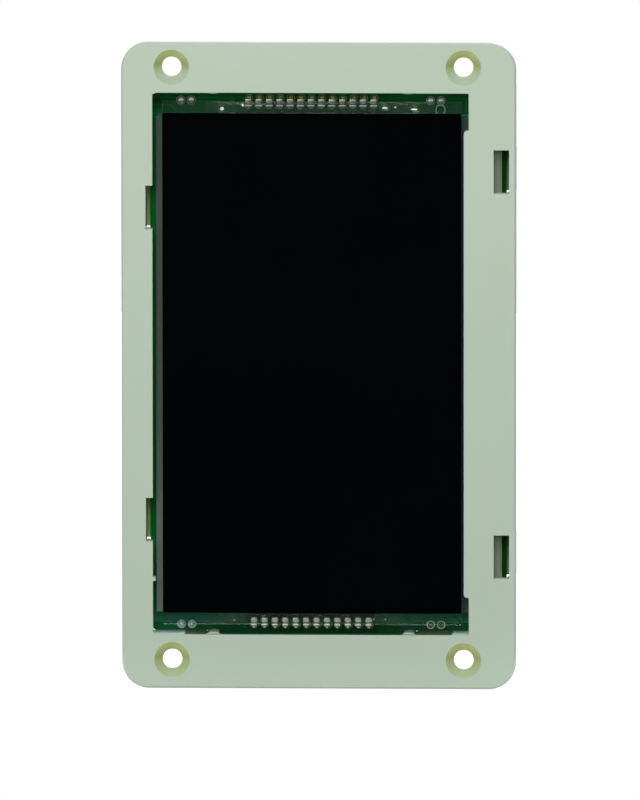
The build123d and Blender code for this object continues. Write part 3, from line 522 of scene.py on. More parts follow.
# plain finishes, each with its own drift and grain
finishKeys = ("tone", "otherTone", "driftScale", "grainScale", "rough", "grainDepth", "sockets")
metal = {"Metallic": 1.0}
satin = {"Specular IOR Level": 0.3}
finishValues = {
    "polarizerFilm": ((0.0007, 0.0011, 0.0014), (0.0005, 0.0008, 0.0011), 20, 5200, (0.09, 0.13), 0, satin),
    "tinnedMetal": ((0.50, 0.52, 0.44), (0.34, 0.37, 0.28), 900, 6000, (0.22, 0.42), 0.01, metal),
    "brightSolder": ((0.74, 0.76, 0.76), (0.60, 0.63, 0.62), 1100, 5000, (0.16, 0.34), 0.01, metal),
    # solder of the domes, near white in part as painted highlight; also the painted glints on the resin
    "domeSolder": ((0.94, 0.98, 0.94), (0.88, 0.93, 0.88), 1500, 5000, (0.18, 0.28), 0.01, {"Metallic": 0.4}),
    # flux yellow, painted brighter as light to make up for its shade
    "fluxCone": ((0.88, 0.93, 0.26), (0.70, 0.76, 0.20), 1500, 5000, (0.25, 0.4)),
    "coveredTrack": ((0.008, 0.135, 0.036), (0.006, 0.115, 0.030), 300, 3000, (0.25, 0.36), 0, satin),
    "whitePrint": ((0.78, 0.80, 0.74), (0.66, 0.69, 0.62), 1200, 3600, (0.5, 0.65), 0.01),
    "ringTin": ((0.66, 0.70, 0.58), (0.54, 0.58, 0.46), 1500, 5000, (0.3, 0.45)),
    "whiteFilm": ((0.80, 0.81, 0.80), (0.76, 0.78, 0.76), 60, 2500, (0.45, 0.6), 0.01),
    "lampBoard": ((0.22, 0.24, 0.06), (0.16, 0.19, 0.05), 260, 3000, (0.45, 0.6), 0.01),
    "lampPackage": ((0.78, 0.74, 0.46), (0.74, 0.68, 0.36), 500, 3000, (0.2, 0.3)),
    "chipEpoxy": ((0.018, 0.018, 0.019), (0.026, 0.026, 0.027), 420, 5200, (0.46, 0.66), 0.03),
    "markRim": ((0.044, 0.044, 0.045), (0.052, 0.052, 0.052), 700, 5200, (0.3, 0.42), 0.01),
    "ferriteCore": ((0.045, 0.045, 0.048), (0.065, 0.064, 0.064), 700, 3800, (0.5, 0.7), 0.04),
    "blackNylon": ((0.014, 0.014, 0.015), (0.02, 0.02, 0.02), 300, 4200, (0.38, 0.52), 0.02),
    "canAluminium": ((0.47, 0.48, 0.49), (0.41, 0.42, 0.43), 500, 5200, (0.28, 0.40), 0.01, metal),
    "drawnSteel": ((0.50, 0.50, 0.48), (0.43, 0.43, 0.41), 350, 5200, (0.16, 0.28), 0.01, metal),
    "firedCeramic": ((0.30, 0.20, 0.11), (0.24, 0.16, 0.09), 700, 3800, (0.4, 0.55), 0.01),
    "resistorGlaze": ((0.012, 0.012, 0.014), (0.02, 0.02, 0.024), 700, 3800, (0.2, 0.32)),
    "whiteNylon": ((0.74, 0.71, 0.62), (0.70, 0.66, 0.56), 160, 3200, (0.36, 0.5), 0.02),
    "giltPins": ((0.78, 0.58, 0.24), (0.70, 0.50, 0.20), 800, 5200, (0.18, 0.3), 0, metal),
}
for finish, row in finishValues.items():
    finishes[finish] = startMaterial(finish, dict(zip(finishKeys, row)))
finishOf = {
    "polarizerFilm": ["front_polarizer", "rear_polarizer"],
    "tinnedMetal": [
        "corner_pads", "display_pins_top", "display_pins_bottom", "led_bar_pins", "microcontroller_leads",
        "display_driver_leads", "bus_transceiver_leads", "regulator_tab", "diode_tabs", "capacitor_tabs",
        "power_connector_pins", "bus_connector_pins",
    ],
    "brightSolder": ["corner_solder", "display_pin_solder", "chip_ends"],
    "whiteFilm": ["reflector_sheet"],
    "lampBoard": ["led_bar_board"],
    "lampPackage": ["backlight_leds"],
    "chipEpoxy": [
        "microcontroller_body", "display_driver_body", "bus_transceiver_body", "regulator_body",
        "diode_bodies",
    ],
    "ferriteCore": ["inductor_shield", "inductor_core"],
    "blackNylon": ["capacitor_bases", "header_strip"],
    "canAluminium": ["capacitor_cans"],
    "drawnSteel": ["crystal_can"],
    "firedCeramic": ["ceramic_capacitors"],
    "resistorGlaze": ["chip_resistors"],
    "whiteNylon": ["power_connector_housing", "bus_connector_housing"],
    "giltPins": ["header_pins"],
}
for finish, names in finishOf.items():
    dress(names, finishes[finish])

# printed mark that shows the negative side on top of each can
canMarkValues = {
    "masks": {"covered": [("y", 14.65, 14.7), ("z", -37.1, -37.05)]},
    "layers": [(["covered"], (0.012, 0.012, 0.014))],
}
paintLayers(finishes["canAluminium"], canMarkValues)
print("materials made:", len(bpy.data.materials))

# pieces modelled here in place of the plain solids, or on top of them
facingFront = (math.radians(90), 0, 0)  # turns a flat primitive towards the front


def metres(*place):
    return tuple(value * mm for value in place)


def spread(count, middle, pitch):
    return [middle + pitch * (i - (count - 1) / 2) for i in range(count)]


def onlySelect(*objects):
    bpy.ops.object.select_all(action="DESELECT")
    for obj in objects:
        obj.select_set(True)
    bpy.context.view_layer.objects.active = objects[0]


def applyPlace():
    bpy.ops.object.transform_apply(location=True, rotation=True, scale=True)


def editMesh(action="SELECT"):
    bpy.ops.object.mode_set(mode="EDIT")
    bpy.ops.mesh.select_all(action=action)


def endEdit():
    bpy.ops.object.mode_set(mode="OBJECT")


def stretch(x, y, z, middle=(0, 0, 0)):
    bpy.ops.transform.resize(value=(x, y, z), center_override=middle)


def extrude(*move):
    bpy.ops.mesh.extrude_region_move(TRANSFORM_OT_translate={"value": move})


def choose(obj, kind, rule):
    # in edit mode: only the parts whose place or normal fits stay selected
    bpy.ops.mesh.select_mode(type={"verts": "VERT", "edges": "EDGE", "faces": "FACE"}[kind])
    bpy.ops.mesh.select_all(action="DESELECT")
    mesh = bmesh.from_edit_mesh(obj.data)
    for part in getattr(mesh, kind):
        if rule(part):
            part.select_set(True)
    mesh.select_flush_mode()
    bmesh.update_edit_mesh(obj.data)


def useModifier(obj, kind, **values):
    onlySelect(obj)
    modifier = obj.modifiers.new(kind.title(), kind)
    for key, value in values.items():
        setattr(modifier, key, value)
    bpy.ops.object.modifier_apply(modifier=modifier.name)


def startPiece(operator, sizes=(1, 1, 1), **values):
    # a primitive to shape, with its place, turn and size in its mesh
    bpy.ops.object.select_all(action="DESELECT")
    operator(**values)
    bpy.ops.transform.resize(value=sizes)
    applyPlace()
    return bpy.context.active_object


def settle(obj, name, material, smoothAngle=40):
    # place and turn go into the mesh, so that the object stays at the origin
    onlySelect(obj)
    applyPlace()
    editMesh()
    bpy.ops.mesh.remove_doubles(threshold=0.0005 * mm)
    bpy.ops.mesh.normals_make_consistent(inside=False)
    endEdit()
    bpy.ops.object.shade_smooth_by_angle(angle=math.radians(smoothAngle))
    obj.name = name
    obj.data.materials.clear()
    obj.data.materials.append(material)
    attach(obj, "root")
    return obj


def joinAll(objects):
    onlySelect(*objects)
    bpy.ops.object.join()
    return objects[0]


def copyTo(obj, places):
    # one object from copies of this one, each moved to its place
    twins = []
    for place in places:
        twin = obj.copy()
        twin.data = obj.data.copy()
        scene.collection.objects.link(twin)
        twin.location = place
        twins.append(twin)
    bpy.data.objects.remove(obj)
    return joinAll(twins)


def turnToBack(piece):
    onlySelect(piece)
    piece.rotation_euler = (0, 0, math.pi)
    applyPlace()
    return piece


# display pins: each a waved strip that hooks over the glass edge and goes down into the board
# a step is its depth, how far out from the glass edge it stands, and its width
pinValues = {
    "glassEdge": 64.05,
    "pitch": 2.54,
    "middle": -1.62,
    "thickness": 0.15,
    "rounding": 0.035,
    "roundFrom": 0.9,  # radians
    "wing": 0.2,
    "wingDepth": 2.0,
    "rows": {
        "displayPinsTopShaped": {
            "replaces": "display_pins_top", "end": 1, "count": 13, "wings": (-1.20, -0.88),
            "steps": [
                (1.40, -1.82, 1.00), (1.50, -1.62, 1.20), (1.50, -1.36, 1.36), (1.58, -1.30, 1.36),
                (1.58, -1.22, 1.36), (1.34, -1.18, 1.36), (1.34, -0.90, 1.36), (1.60, -0.84, 1.24),
                (1.60, -0.60, 1.10), (1.42, -0.54, 1.14), (1.42, -0.36, 1.16), (1.61, -0.30, 1.24),
                (1.61, -0.12, 1.34), (1.34, -0.06, 1.44), (1.34, 0.12, 1.44), (1.61, 0.16, 1.38),
                (1.61, 0.28, 1.38), (1.34, 0.32, 1.40), (1.40, 0.48, 1.40), (1.80, 0.50, 0.60),
                (2.10, 0.42, 0.46), (3.00, 0.36, 0.46), (7.40, 0.34, 0.42), (10.40, 0.32, 0.36),
            ],
        },
        "displayPinsBottomShaped": {
            "replaces": "display_pins_bottom", "end": -1, "count": 12, "wings": (-1.14, -0.92),
            "steps": [
                (1.24, -1.82, 1.20), (1.46, -1.66, 1.36), (1.38, -1.46, 1.44), (1.50, -1.30, 1.44),
                (1.36, -1.12, 1.44), (1.50, -0.94, 1.44), (1.38, -0.78, 1.40), (1.56, -0.62, 1.34),
                (1.62, -0.54, 0.80), (1.62, -0.26, 0.80), (1.36, -0.20, 1.40), (1.26, -0.04, 1.46),
                (1.28, 0.16, 1.46), (1.42, 0.26, 1.30), (1.52, 0.40, 0.62), (1.60, 0.54, 0.46),
                (1.78, 0.76, 0.40), (3.00, 0.72, 0.40), (7.40, 0.70, 0.40), (10.40, 0.70, 0.36),
            ],
        },
    },
}


def leadColumns(count):
    return spread(count, pinValues["middle"], pinValues["pitch"])


def modelPin(row, values):
    strip = startPiece(bpy.ops.mesh.primitive_plane_add, size=1, rotation=facingFront)
    end, edge = row["end"], values["glassEdge"]
    stations = [metres(depth, end * (edge + out), width) for depth, out, width in row["steps"]]
    for vert in strip.data.vertices:
        depth, z, width = stations[0] if vert.co.z < 0 else stations[1]
        vert.co = (math.copysign(width / 2, vert.co.x), depth, z)
    bpy.ops.object.mode_set(mode="EDIT")
    for (y0, z0, w0), (y1, z1, w1) in zip(stations[1:], stations[2:]):
        choose(strip, "edges", lambda e: all(
            abs(v.co.y - y0) < 1e-7 and abs(v.co.z - z0) < 1e-7 for v in e.verts
        ))
        extrude(0, y1 - y0, z1 - z0)
        stretch(w1 / w0, 1, 1)
    low, high = sorted((edge + wing) * end * mm for wing in row["wings"])
    for side in (-1, 1):
        choose(strip, "edges", lambda e: e.is_boundary and all(
            low < v.co.z < high and v.co.x * side > 0 and v.co.y < values["wingDepth"] * mm for v in e.verts
        ))
        extrude(side * values["wing"] * mm, 0, 0)
    endEdit()
    useModifier(strip, "SOLIDIFY", thickness=values["thickness"] * mm, offset=0)
    useModifier(
        strip, "BEVEL", width=values["rounding"] * mm, segments=2, limit_method="ANGLE",
        angle_limit=values["roundFrom"],
    )
    return strip


# tin with painted shade and highlights: dark on the glass, under the resin and in the hollows, bright where
# it bends over the edge; the leads into the board yellow with flux and painted light
pinMetalValues = {
    "tone": (0.29, 0.33, 0.26),
    "otherTone": (0.23, 0.27, 0.19),
    "driftScale": 900.0,
    "grainScale": 6000.0,
    "rough": (0.30, 0.46),
    "grainDepth": 0.01,
    "sockets": metal,
    "away": {"height": ("z", 0.0)},
    "masks": {
        "onGlass": [("height", 63.80, 63.50)],
        "hollow": [("y", 1.42, 1.50), ("y", 1.8, 1.7), ("height", 64.44, 64.38)],
        "deep": [("y", 1.8, 2.1)],
        "tip": [("z", -64.34, -64.46)],
    },
    "either": {"lead": ("deep", "tip"), "covered": ("lead", "hollow")},
    "layers": [
        # painted shade on the glass
        (["onGlass"], (0.13, 0.145, 0.125)),
        ([("z", 62.78, 62.84), ("z", 63.24, 63.18)], (0.30, 0.33, 0.29)),  # painted highlight on the bar of each upper pin
        ([("z", 62.78, 62.70), ("z", 0.0, 1.0)], (0.05, 0.06, 0.05)),  # painted shade at the foot of each upper pin
        # painted shade in the hollows, which are not metal
        (["hollow", 0.92], (0.010, 0.016, 0.010)),
        ([("z", 0.0, -1.0), ("height", 63.50, 63.80)], (0.36, 0.42, 0.34)),  # painted highlight on the lower row, at the edge
        ([("z", 0.0, -1.0), "onGlass"], (0.19, 0.205, 0.185)),  # and painted shade on the glass
        # leads into the board: yellow of flux, painted brighter as light, not metal
        (["lead"], (1.0, 1.0, 0.45), (0.80, 0.86, 0.50), "tip"),
    ],
}
pinMetal = paintLayers(startMaterial("pinMetal", pinMetalValues), pinMetalValues)


def makePins(values):
    for name, row in values["rows"].items():
        strip = modelPin(row, values)
        pins = copyTo(strip, [metres(x, 0, 0) for x in leadColumns(row["count"])])
        settle(pins, name, pinMetal, 50)
        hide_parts(row["replaces"])


makePins(pinValues)
print("display pins shaped")

# plated rings: flat with a rounded rim, round the display leads and at the corners
# a ring is its outer and inner radius and its rise
ringValues = {
    "lead": (0.93, 0.80, 0.05),
    "corner": (1.06, 0.80, 0.09),
    "segments": 32,
    "leadRows": [(64.35, 13), (-64.75, 12)],
    "cornerColumns": (-33.52, -30.98, 27.28, 29.82),
    "cornerRows": (63.77, -64.63),
    "boardFront": 7.5,
    "rimShrink": 0.95,
    "dishShare": 0.9,
}


def startDisc(radius, segments):
    disc = startPiece(
        bpy.ops.mesh.primitive_circle_add, vertices=segments, radius=radius * mm, fill_type="NGON",
        rotation=facingFront,
    )
    bpy.ops.object.mode_set(mode="EDIT")
    choose(disc, "faces", lambda face: True)
    return disc


def modelRing(outer, inner, rise, segments):
    ring = startDisc(outer, segments)
    shrink = ringValues["rimShrink"]
    extrude(0, -rise * mm, 0)
    stretch(shrink, 1, shrink)
    bpy.ops.mesh.inset(thickness=(outer * shrink - inner) * mm)
    extrude(0, rise * ringValues["dishShare"] * mm, 0)
    endEdit()
    return ring


def leadPlaces(rows):
    return [metres(x, ringValues["boardFront"], z) for z, count in rows for x in leadColumns(count)]


# the ring's rim is bright tin, its dish is dull and olive
boardRingValues = {
    "tone": (0.80, 0.84, 0.70),
    "otherTone": (0.66, 0.70, 0.54),
    "driftScale": 900.0,
    "grainScale": 5000.0,
    "rough": (0.35, 0.5),
    "sockets": {"Metallic": 0.35},
    "away": {"fromPins": ("x", -1.62)},
    "masks": {"outside": [("fromPins", 17, 20)]},
    "layers": [
        ([("y", 7.44, 7.47)], (0.015, 0.045, 0.018), (0.10, 0.13, 0.05), "outside"),  # dish at leads, corners
        (["outside", ("z", -1, 1)], (0.03, 0.07, 0.04)),  # upper corners
    ],
}
boardRing = paintLayers(startMaterial("boardRing", boardRingValues), boardRingValues)
cornerPlaces = [(x, z) for z in ringValues["cornerRows"] for x in ringValues["cornerColumns"]]


def makeRings(values):
    ring = modelRing(*values["lead"], values["segments"])
    settle(copyTo(ring, leadPlaces(values["leadRows"])), "leadRings", boardRing, 30)
    ring = modelRing(*values["corner"], values["segments"])
    places = [metres(x, values["boardFront"], z) for x, z in cornerPlaces]
    corner = settle(copyTo(ring, places), "cornerRings", boardRing, 30)
    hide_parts("corner_pads")


makeRings(ringValues)


def halfBall(segments, radius, scales, place):
    # the front half of a ball, stretched
    ball = startPiece(
        bpy.ops.mesh.primitive_uv_sphere_add, segments=segments, ring_count=segments // 2, radius=radius * mm
    )
    editMesh()
    bpy.ops.mesh.bisect(plane_co=(0, 0, 0), plane_no=(0, 1, 0), clear_outer=True, use_fill=True)
    bpy.ops.mesh.select_all(action="SELECT")
    stretch(*scales)
    endEdit()
    ball.location = metres(*place)
    return ball


# solder domes in six of the corner rings, slumped a little to one side
domeValues = {
    "count": 6,
    "radius": 0.71,
    "height": 0.46,
    "slump": 0.06,
    "slumpFrom": 0.3,
    "slumpTurn": 2.1,
    "sunk": 0.02,
    "segments": 28,
}


def makeDomes(values):
    domes = []
    for i, (x, z) in enumerate(cornerPlaces[:values["count"]]):
        radius, place = values["radius"], (x, ringValues["boardFront"] - values["sunk"], z)
        dome = halfBall(values["segments"], radius, (1, values["height"] / radius, 1), place)
        bpy.ops.object.mode_set(mode="EDIT")
        choose(dome, "verts", lambda v: v.co.y < -values["slumpFrom"] * values["height"] * mm)
        lean, turn = values["slump"] * mm, i * values["slumpTurn"]
        bpy.ops.transform.translate(value=(lean * math.cos(turn), 0, lean * math.sin(turn)))
        endEdit()
        domes.append(dome)
    row = settle(joinAll(domes), "cornerSolderDomes", finishes["domeSolder"], 45)
    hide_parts("corner_solder")


makeDomes(domeValues)
print("rings and solder shaped")

# glass plates with their edges seamed, so that the edges catch the light
# a plate is its name, its centre and its size
plateValues = {
    "seam": 0.1,
    "plates": {
        "display_front_glass": ("frontGlassSeamed", (-1.4, 1.15, 0.12), (72.7, 1.1, 122.3)),
        "display_rear_glass": ("rearGlassSeamed", (-1.4, 2.25, 0.0), (72.7, 1.1, 128.1)),
    },
}


def makeGlassPlates(values):
    for node, (name, centre, size) in values["plates"].items():
        glass = startPiece(bpy.ops.mesh.primitive_cube_add, metres(*size), size=1, location=metres(*centre))
        editMesh()
        bpy.ops.mesh.bevel(offset=values["seam"] * mm, segments=1, affect="EDGES")
        endEdit()
        settle(glass, name, finishes["displayGlass"], 10)
        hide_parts(node)


makeGlassPlates(plateValues)

# resin over the pins: a low uneven bead, with thicker drops where it ran out
# a wave is its size, its pace along the bead and where it starts
resinPieceValues = {
    "left": -27.4,
    "glassFace": 1.7,
    "height": 0.42,
    "endShare": 0.09,
    "archPower": 0.6,
    "fullness": 0.62,
    "lumps": [(0.2, 0.9, 1.0), (0.12, 2.3, 0.0), (0.06, 5.1, 2.0)],
    "wander": [(0.10, 1.3, 0.5), (0.07, 3.1, 0.0)],
    "cells": (220, 16),
    "dropLift": 0.25,
    "dropSegments": 32,
    "beads": {
        "resinTopShaped": {
            "replaces": "pin_resin_top", "right": 28.9, "band": (61.35, 63.98),
            "drops": [
                (-23.3, 62.45, 1.5, 0.95, 0.30), (-18.2, 63.3, 0.9, 0.6, 0.24), (16.6, 62.7, 1.6, 0.8, 0.30),
                (23.9, 62.45, 1.8, 1.0, 0.32),
            ],
        },
        "resinBottomShaped": {
            "replaces": "pin_resin_bottom", "right": 22.4, "band": (-63.98, -61.15),
            "drops": [(-21.2, -62.7, 1.3, 0.8, 0.22), (14.6, -62.5, 1.1, 0.7, 0.22)],
        },
    },
}


def ripple(x, waves):
    return sum(size * math.sin(x * pace + start) for size, pace, start in waves)


def shapeBead(bead, left, right, low, high, values):
    for vert in bead.data.vertices:
        x = vert.co.x / mm
        along = (x - left) / (right - left)
        across = (vert.co.z / mm - low) / (high - low)
        ends = min(1, max(0, along / values["endShare"])) * min(1, max(0, (1 - along) / values["endShare"]))
        ends = ends * ends * (3 - 2 * ends)
        arch = max(0, 4 * across * (1 - across)) ** values["archPower"]
        uneven = values["fullness"] + ripple(x, values["lumps"])
        vert.co.y -= values["height"] * arch * uneven * ends * mm
        vert.co.z += ripple(x, values["wander"]) * (0.5 - across) * mm
    editMesh()
    extrude(0, 0, 0)
    stretch(1, 0, 1, metres(0, values["glassFace"], 0))
    endEdit()


def makeResin(values):
    columns, rows = values["cells"]
    for name, given in values["beads"].items():
        left, right = values["left"], given["right"]
        low, high = given["band"]
        bead = startPiece(
            bpy.ops.mesh.primitive_grid_add, ((right - left) * mm, 1, (high - low) * mm),
            x_subdivisions=columns, y_subdivisions=rows, size=1, rotation=facingFront,
            location=metres((left + right) / 2, values["glassFace"], (low + high) / 2),
        )
        shapeBead(bead, left, right, low, high, values)
        pieces = [bead]
        for x, z, wide, tall, rise in given["drops"]:
            place = (x, values["glassFace"] - values["dropLift"], z)
            pieces.append(halfBall(values["dropSegments"], 1, (wide, rise, tall), place))
        bead = settle(joinAll(pieces), name, finishes["clearResin"], 60)
        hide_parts(given["replaces"])


makeResin(resinPieceValues)

# painted glints: small white pieces on the resin where it would catch the light
paintedGlintValues = {
    "depth": 1.12,
    "rise": 0.08,
    "segments": 20,
    "places": [
        (-23.25, 62.25, 0.46, 0.40), (-18.2, 63.15, 0.26, 0.34), (16.4, 62.55, 0.75, 0.22),
        (23.5, 62.25, 0.85, 0.20), (18.9, 62.75, 0.22, 0.16), (-20.4, -62.9, 0.4, 0.07),
        (16.4, -62.6, 0.16, 0.12), (13.6, -62.6, 0.14, 0.12),
    ],
}


def makePaintedGlints(values):
    paintedGlints = [
        halfBall(values["segments"], 1, (wide, values["rise"], tall), (x, values["depth"], z))
        for x, z, wide, tall in values["places"]
    ]
    settle(joinAll(paintedGlints), "resinFlecks", finishes["domeSolder"], 60)


makePaintedGlints(paintedGlintValues)
print("glass and resin shaped")

# flux cones where the display leads enter the board, their yellow painted brighter as light; a step is its
# height and how much it shrinks
coneValues = {
    "radius": 0.50,
    "steps": [(0.275, 0.72), (0.385, 0.74), (0.44, 0.75075)],
    "rows": [(64.42, 13), (-64.85, 12)],
    "segments": 20,
}


def makeFluxCones(values):
    cone = startDisc(values["radius"], values["segments"])
    for height, shrink in values["steps"]:
        extrude(0, -height * mm, 0)
        stretch(shrink, 1, shrink)
    endEdit()
    settle(copyTo(cone, leadPlaces(values["rows"])), "leadFluxCones", finishes["fluxCone"], 60)


makeFluxCones(coneValues)


# printed circuit: low ridges of covered copper, vias and white outlines, all as flattened lines
def layLines(name, lines, closed, face, outward, rise, finish, slotName=None):
    # each line is a list of (x, z) points; outward is -1 on the front of the board and 1 on its back
    width = boardLines["widths"][name]
    bpy.ops.object.select_all(action="DESELECT")
    bpy.ops.object.add(type="CURVE")
    path = bpy.context.active_object
    path.data.dimensions = "3D"
    path.data.bevel_depth = width / 2 * mm
    path.data.bevel_resolution = 1
    path.data.use_fill_caps = True
    for points in lines:
        spline = path.data.splines.new("POLY")
        spline.points.add(len(points) - 1)
        for point, (x, z) in zip(spline.points, points):
            point.co = (x * mm, 0, z * mm, 1)
        spline.use_cyclic_u = closed
    onlySelect(path)
    bpy.ops.object.convert(target="MESH")
    made = bpy.context.active_object
    editMesh()
    stretch(1, 2 * rise / width, 1)
    bpy.ops.transform.translate(value=(0, (face + outward * rise * boardLines["lift"]) * mm, 0))
    endEdit()
    return settle(made, name, finishes[finish], 50)


def outline(x, z, wide, tall):
    left, right, low, high = x - wide / 2, x + wide / 2, z - tall / 2, z + tall / 2
    return [(left, low), (right, low), (right, high), (left, high)]


def circleLine(x, z, radius, count=20):
    turns = [2 * math.pi * i / count for i in range(count)]
    return [(x + radius * math.cos(turn), z + radius * math.sin(turn)) for turn in turns]


def fanLines(starts, ends, low, bend, step, high):
    # from one row of places to another: straight up, aslant and straight up again
    middle = (len(starts) - 1) / 2
    bends = [bend + (middle - abs(i - middle)) * step for i in range(len(starts))]
    return [
        [(start, low), (start, turn), (end, turn + abs(end - start)), (end, high)]
        for start, end, turn in zip(starts, ends, bends)
    ]


resistorColumns = spread(6, -1.75, -3.5)
headerFan = fanLines(spread(5, 12.0, 0.8), spread(5, 16.0, 2.54), 4.4, 7.2, 0.7, 20.4)
thinTracks = [
    *fanLines(spread(13, -1.6, 1.2), leadColumns(13), 49.9, 51.2, 0.5, 63.4),  # driver to the upper leads
    *fanLines(spread(6, -1.6, -0.8), resistorColumns, 18.0, 20.2, 0.6, 32.3),  # controller to the resistors
    *fanLines(resistorColumns, spread(6, -1.6, -1.27), 34.7, 35.4, 0.3, 40.1),  # resistors to the driver
    *[[(x, -63.8), (x, -58.9 - 1.6 * (i % 2))] for i, x in enumerate(leadColumns(12))],  # lower leads
    *[[(across, up) for up, across in line] for line in headerFan],  # controller to the header
    [(-7.2, 10.5), (-11.4, 10.5)],  # crystal
    [(-7.2, 13.5), (-11.4, 13.5)],
]
for i in range(4):  # controller down to the transceiver, and on to the bus connector
    start, target, bend = -4.0 + 0.8 * i, -19.41 + 1.27 * i, -1.0 - 1.1 * i
    thinTracks.append([(start, 6.0), (start, bend), (target, bend - abs(start - target)), (target, -22.5)])
    start, target, bend = -15.6 - 1.27 * i, -15.25 - 2.5 * i, -33.0 - 0.6 * i
    thinTracks.append([(start, -29.6), (start, bend), (target, bend - 3.0), (target, -49.0)])
wideTracks = [
    [(16.25, -49.6), (16.25, -45.5), (20.5, -41.5)],
    [(23.75, -49.6), (23.75, -46.5), (30.5, -42.4)],
    [(30.5, -35.2), (30.5, -29.0), (28.5, -27.4)],
    [(27.5, -20.6), (27.5, -18.0), (22.9, -14.0)],
    [(18.2, -14.0), (15.3, -17.2), (15.3, -19.5)],
    [(10.7, -29.0), (10.7, -33.0), (17.0, -38.5)],
    [(30.5, -11.0), (30.5, 30.0), (24.0, 36.5), (10.0, 44.0)],
    [(-36.5, -58.0), (-36.5, 56.0), (-30.0, 60.8), (-20.0, 60.8)],
    [(40.5, -56.0), (40.5, 54.0), (36.0, 59.0)],
]
frontTracks = [
    [(-40.2, 62.6), (-36.0, 62.6), (-34.8, 61.4), (-34.8, 40.0)],
    [(-26.0, 65.0), (-22.0, 65.0), (-20.6, 63.6), (-20.6, 60.0)],
    [(33.2, 64.9), (35.0, 64.9), (36.0, 63.9), (36.0, 40.0)],
    [(-25.0, -64.0), (-19.5, -64.0), (-17.9, -65.6)],
    [(20.5, -62.0), (22.6, -64.1), (26.0, -64.1)],
    [(33.0, -62.4), (35.4, -64.8)],
]

# printed outlines round the parts behind the board: the larger parts, small upright ones, small level ones
partOutlines = [
    (-1.6, 45.0, 18.2, 5.8), (-1.6, 12.0, 8.4, 8.4), (-17.5, -26.0, 5.6, 3.0), (13.0, -24.8, 8.4, 12.2),
    (27.5, -24.0, 8.6, 8.6), (20.5, -14.0, 7.0, 3.4), (30.0, -14.0, 7.0, 3.4), (30.5, -38.5, 7.8, 7.8),
    (19.0, -38.5, 7.8, 7.8), (-14.0, 12.0, 6.0, 12.8), (20.0, -53.0, 13.8, 7.2), (-19.0, -53.0, 13.8, 7.2),
    (22.0, 16.0, 7.2, 13.6),
]
chipOutlines = {
    (1.85, 2.7): [
        (7.5, 4.5), (7.5, 19.5), (12.5, 45.0), (-15.0, 45.0), (-11.0, -26.0), (4.0, -20.0), (4.0, -28.0),
        (7.0, 33.5), (3.5, 33.5), (0.0, 33.5), (-3.5, 33.5), (-7.0, 33.5), (-10.5, 33.5), (-24.5, -24.0),
        (-24.5, -28.5), (33.0, 2.0),
    ],
    (2.7, 1.85): [
        (-10.0, 4.0), (-20.5, 9.0), (-20.5, 15.0), (-1.6, 54.0), (-8.0, -38.0), (-4.0, -4.0), (-4.0, -7.0),
        (-14.0, -38.0),
    ],
}
printLines = [
    *[outline(*part) for part in partOutlines],
    *[outline(x, z, *size) for size, places in chipOutlines.items() for x, z in places],
    *[circleLine(*dot) for dot in ((8.3, 41.2, 0.35), (4.6, 5.8, 0.35), (-13.9, -28.6, 0.3))],
]
boardLines = {
    "front": 7.5,
    "rear": 9.1,
    "trackRise": 0.03,
    "printRise": 0.02,
    "lift": 0.15,
    "mark": (29.7, 61.6, 1.15, 28),
    "openings": 4,
    "opening": (1.0, 32),
    "widths": {
        "rearThinTracks": 0.26,
        "rearWideTracks": 1.4,
        "rearOutlines": 0.17,
        "frontTracks": 0.5,
        "frontMark": 0.16,
        "maskOpenings": 0.1,
    },
}


def makeBoardLines(values):
    rear, front = (values["rear"], 1), (values["front"], -1)
    ringTop = (values["front"] - ringValues["corner"][2], -1)
    track, ink = values["trackRise"], values["printRise"]
    ring = [circleLine(*values["mark"])]
    openings = [circleLine(x, z, *values["opening"]) for x, z in cornerPlaces[:values["openings"]]]
    layLines("rearThinTracks", thinTracks, False, *rear, track, "coveredTrack", "board_laminate")
    layLines("rearWideTracks", wideTracks, False, *rear, track, "coveredTrack", "board_laminate")
    layLines("rearOutlines", printLines, True, *rear, ink, "whitePrint")
    layLines("frontTracks", frontTracks, False, *front, track, "coveredTrack", "board_laminate")
    layLines("frontMark", ring, True, *front, ink, "whitePrint")
    layLines("maskOpenings", openings, True, *ringTop, ink, "ringTin", "tinned_copper")


makeBoardLines(boardLines)

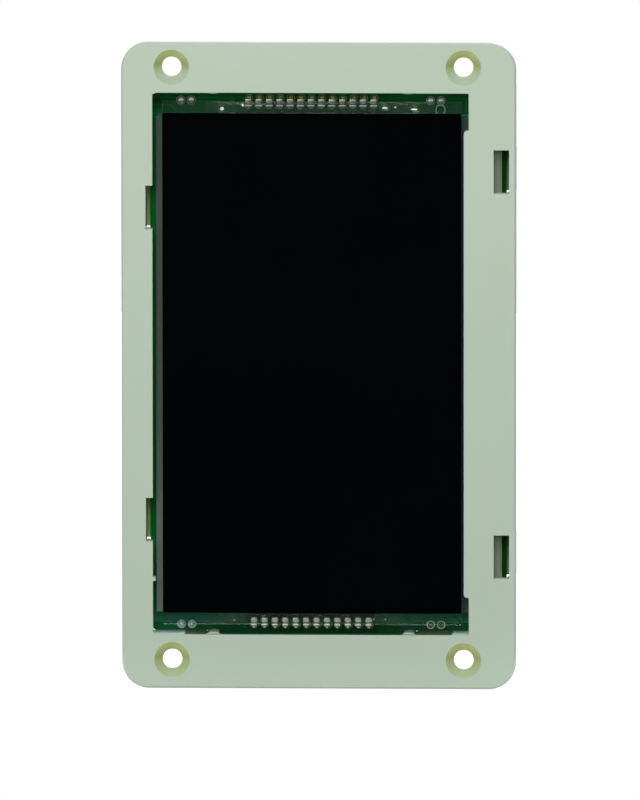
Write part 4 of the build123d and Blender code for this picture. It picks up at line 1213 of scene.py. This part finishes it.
viaValues = {
    "ring": (0.42, 0.2, 0.04),
    "segments": 16,
    "places": [
        (-36.5, -58.0), (-36.5, -20.0), (-36.5, 20.0), (-20.0, 60.8), (40.5, -56.0), (40.5, -10.0),
        (40.5, 30.0), (36.0, 59.0), (30.5, 30.0), (-24.0, 30.0), (-27.0, 26.0), (-28.0, 34.0), (18.0, 27.0),
        (22.0, 52.0), (-24.0, 52.0), (14.0, -8.0), (20.0, 2.0), (-20.0, -10.0), (-30.0, -30.0), (5.0, -48.0),
        (-3.0, -44.0), (-6.0, 27.0), (2.5, 26.5), (34.0, -20.0), (34.0, 8.0),
    ],
}


def makeVias(values):
    stair = [(x, -58.6 - 1.6 * (i % 2)) for i, x in enumerate(leadColumns(12))]
    ring = turnToBack(modelRing(*values["ring"], values["segments"]))
    places = [metres(x, boardLines["rear"], z) for x, z in stair + values["places"]]
    settle(copyTo(ring, places), "rearVias", finishes["tinnedMetal"], 30)


makeVias(viaValues)

# shiny rims round the moulded marks at the first lead of each chip
chipMarkValues = {
    "radius": {"microcontroller_body": 0.8, "display_driver_body": 0.65, "bus_transceiver_body": 0.3},
    "inset": 3.0,
    "rimOut": 0.06,
    "rimIn": 0.02,
    "rise": 0.02,
    "sunkShare": 0.1,
    "segments": 24,
}


def makeChipMarks(values):
    rings = []
    for node, radius in values["radius"].items():
        low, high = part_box(node)
        outer, inner, rise = radius + values["rimOut"], radius - values["rimIn"], values["rise"]
        ring = turnToBack(modelRing(outer, inner, rise, values["segments"]))
        inset = values["inset"] * radius * mm
        ring.location = (high[0] - inset, high[1] - values["sunkShare"] * rise * mm, low[2] + inset)
        rings.append(ring)
    settle(joinAll(rings), "chipMarkRims", finishes["markRim"], 30)


makeChipMarks(chipMarkValues)

# ejector marks left by the mould on the back of the flange
ejectorValues = {
    "ring": (2.0, 1.85, 0.05),
    "segments": 36,
    "flangeBack": 3.0,
    "places": [
        (-20, 74.5), (20, 74.5), (-20, -75), (20, -75), (-45.5, 47), (-45.5, -47), (-45.5, 9), (-45.5, -9),
    ],
}


def makeEjectorMarks(values):
    ring = turnToBack(modelRing(*values["ring"], values["segments"]))
    places = [metres(x, values["flangeBack"], z) for x, z in values["places"]]
    settle(copyTo(ring, places), "ejectorMarks", frameMoulding, 30)


makeEjectorMarks(ejectorValues)
print("printed circuit, vias and mould marks laid")

# view
scene.view_settings.view_transform = "Standard"
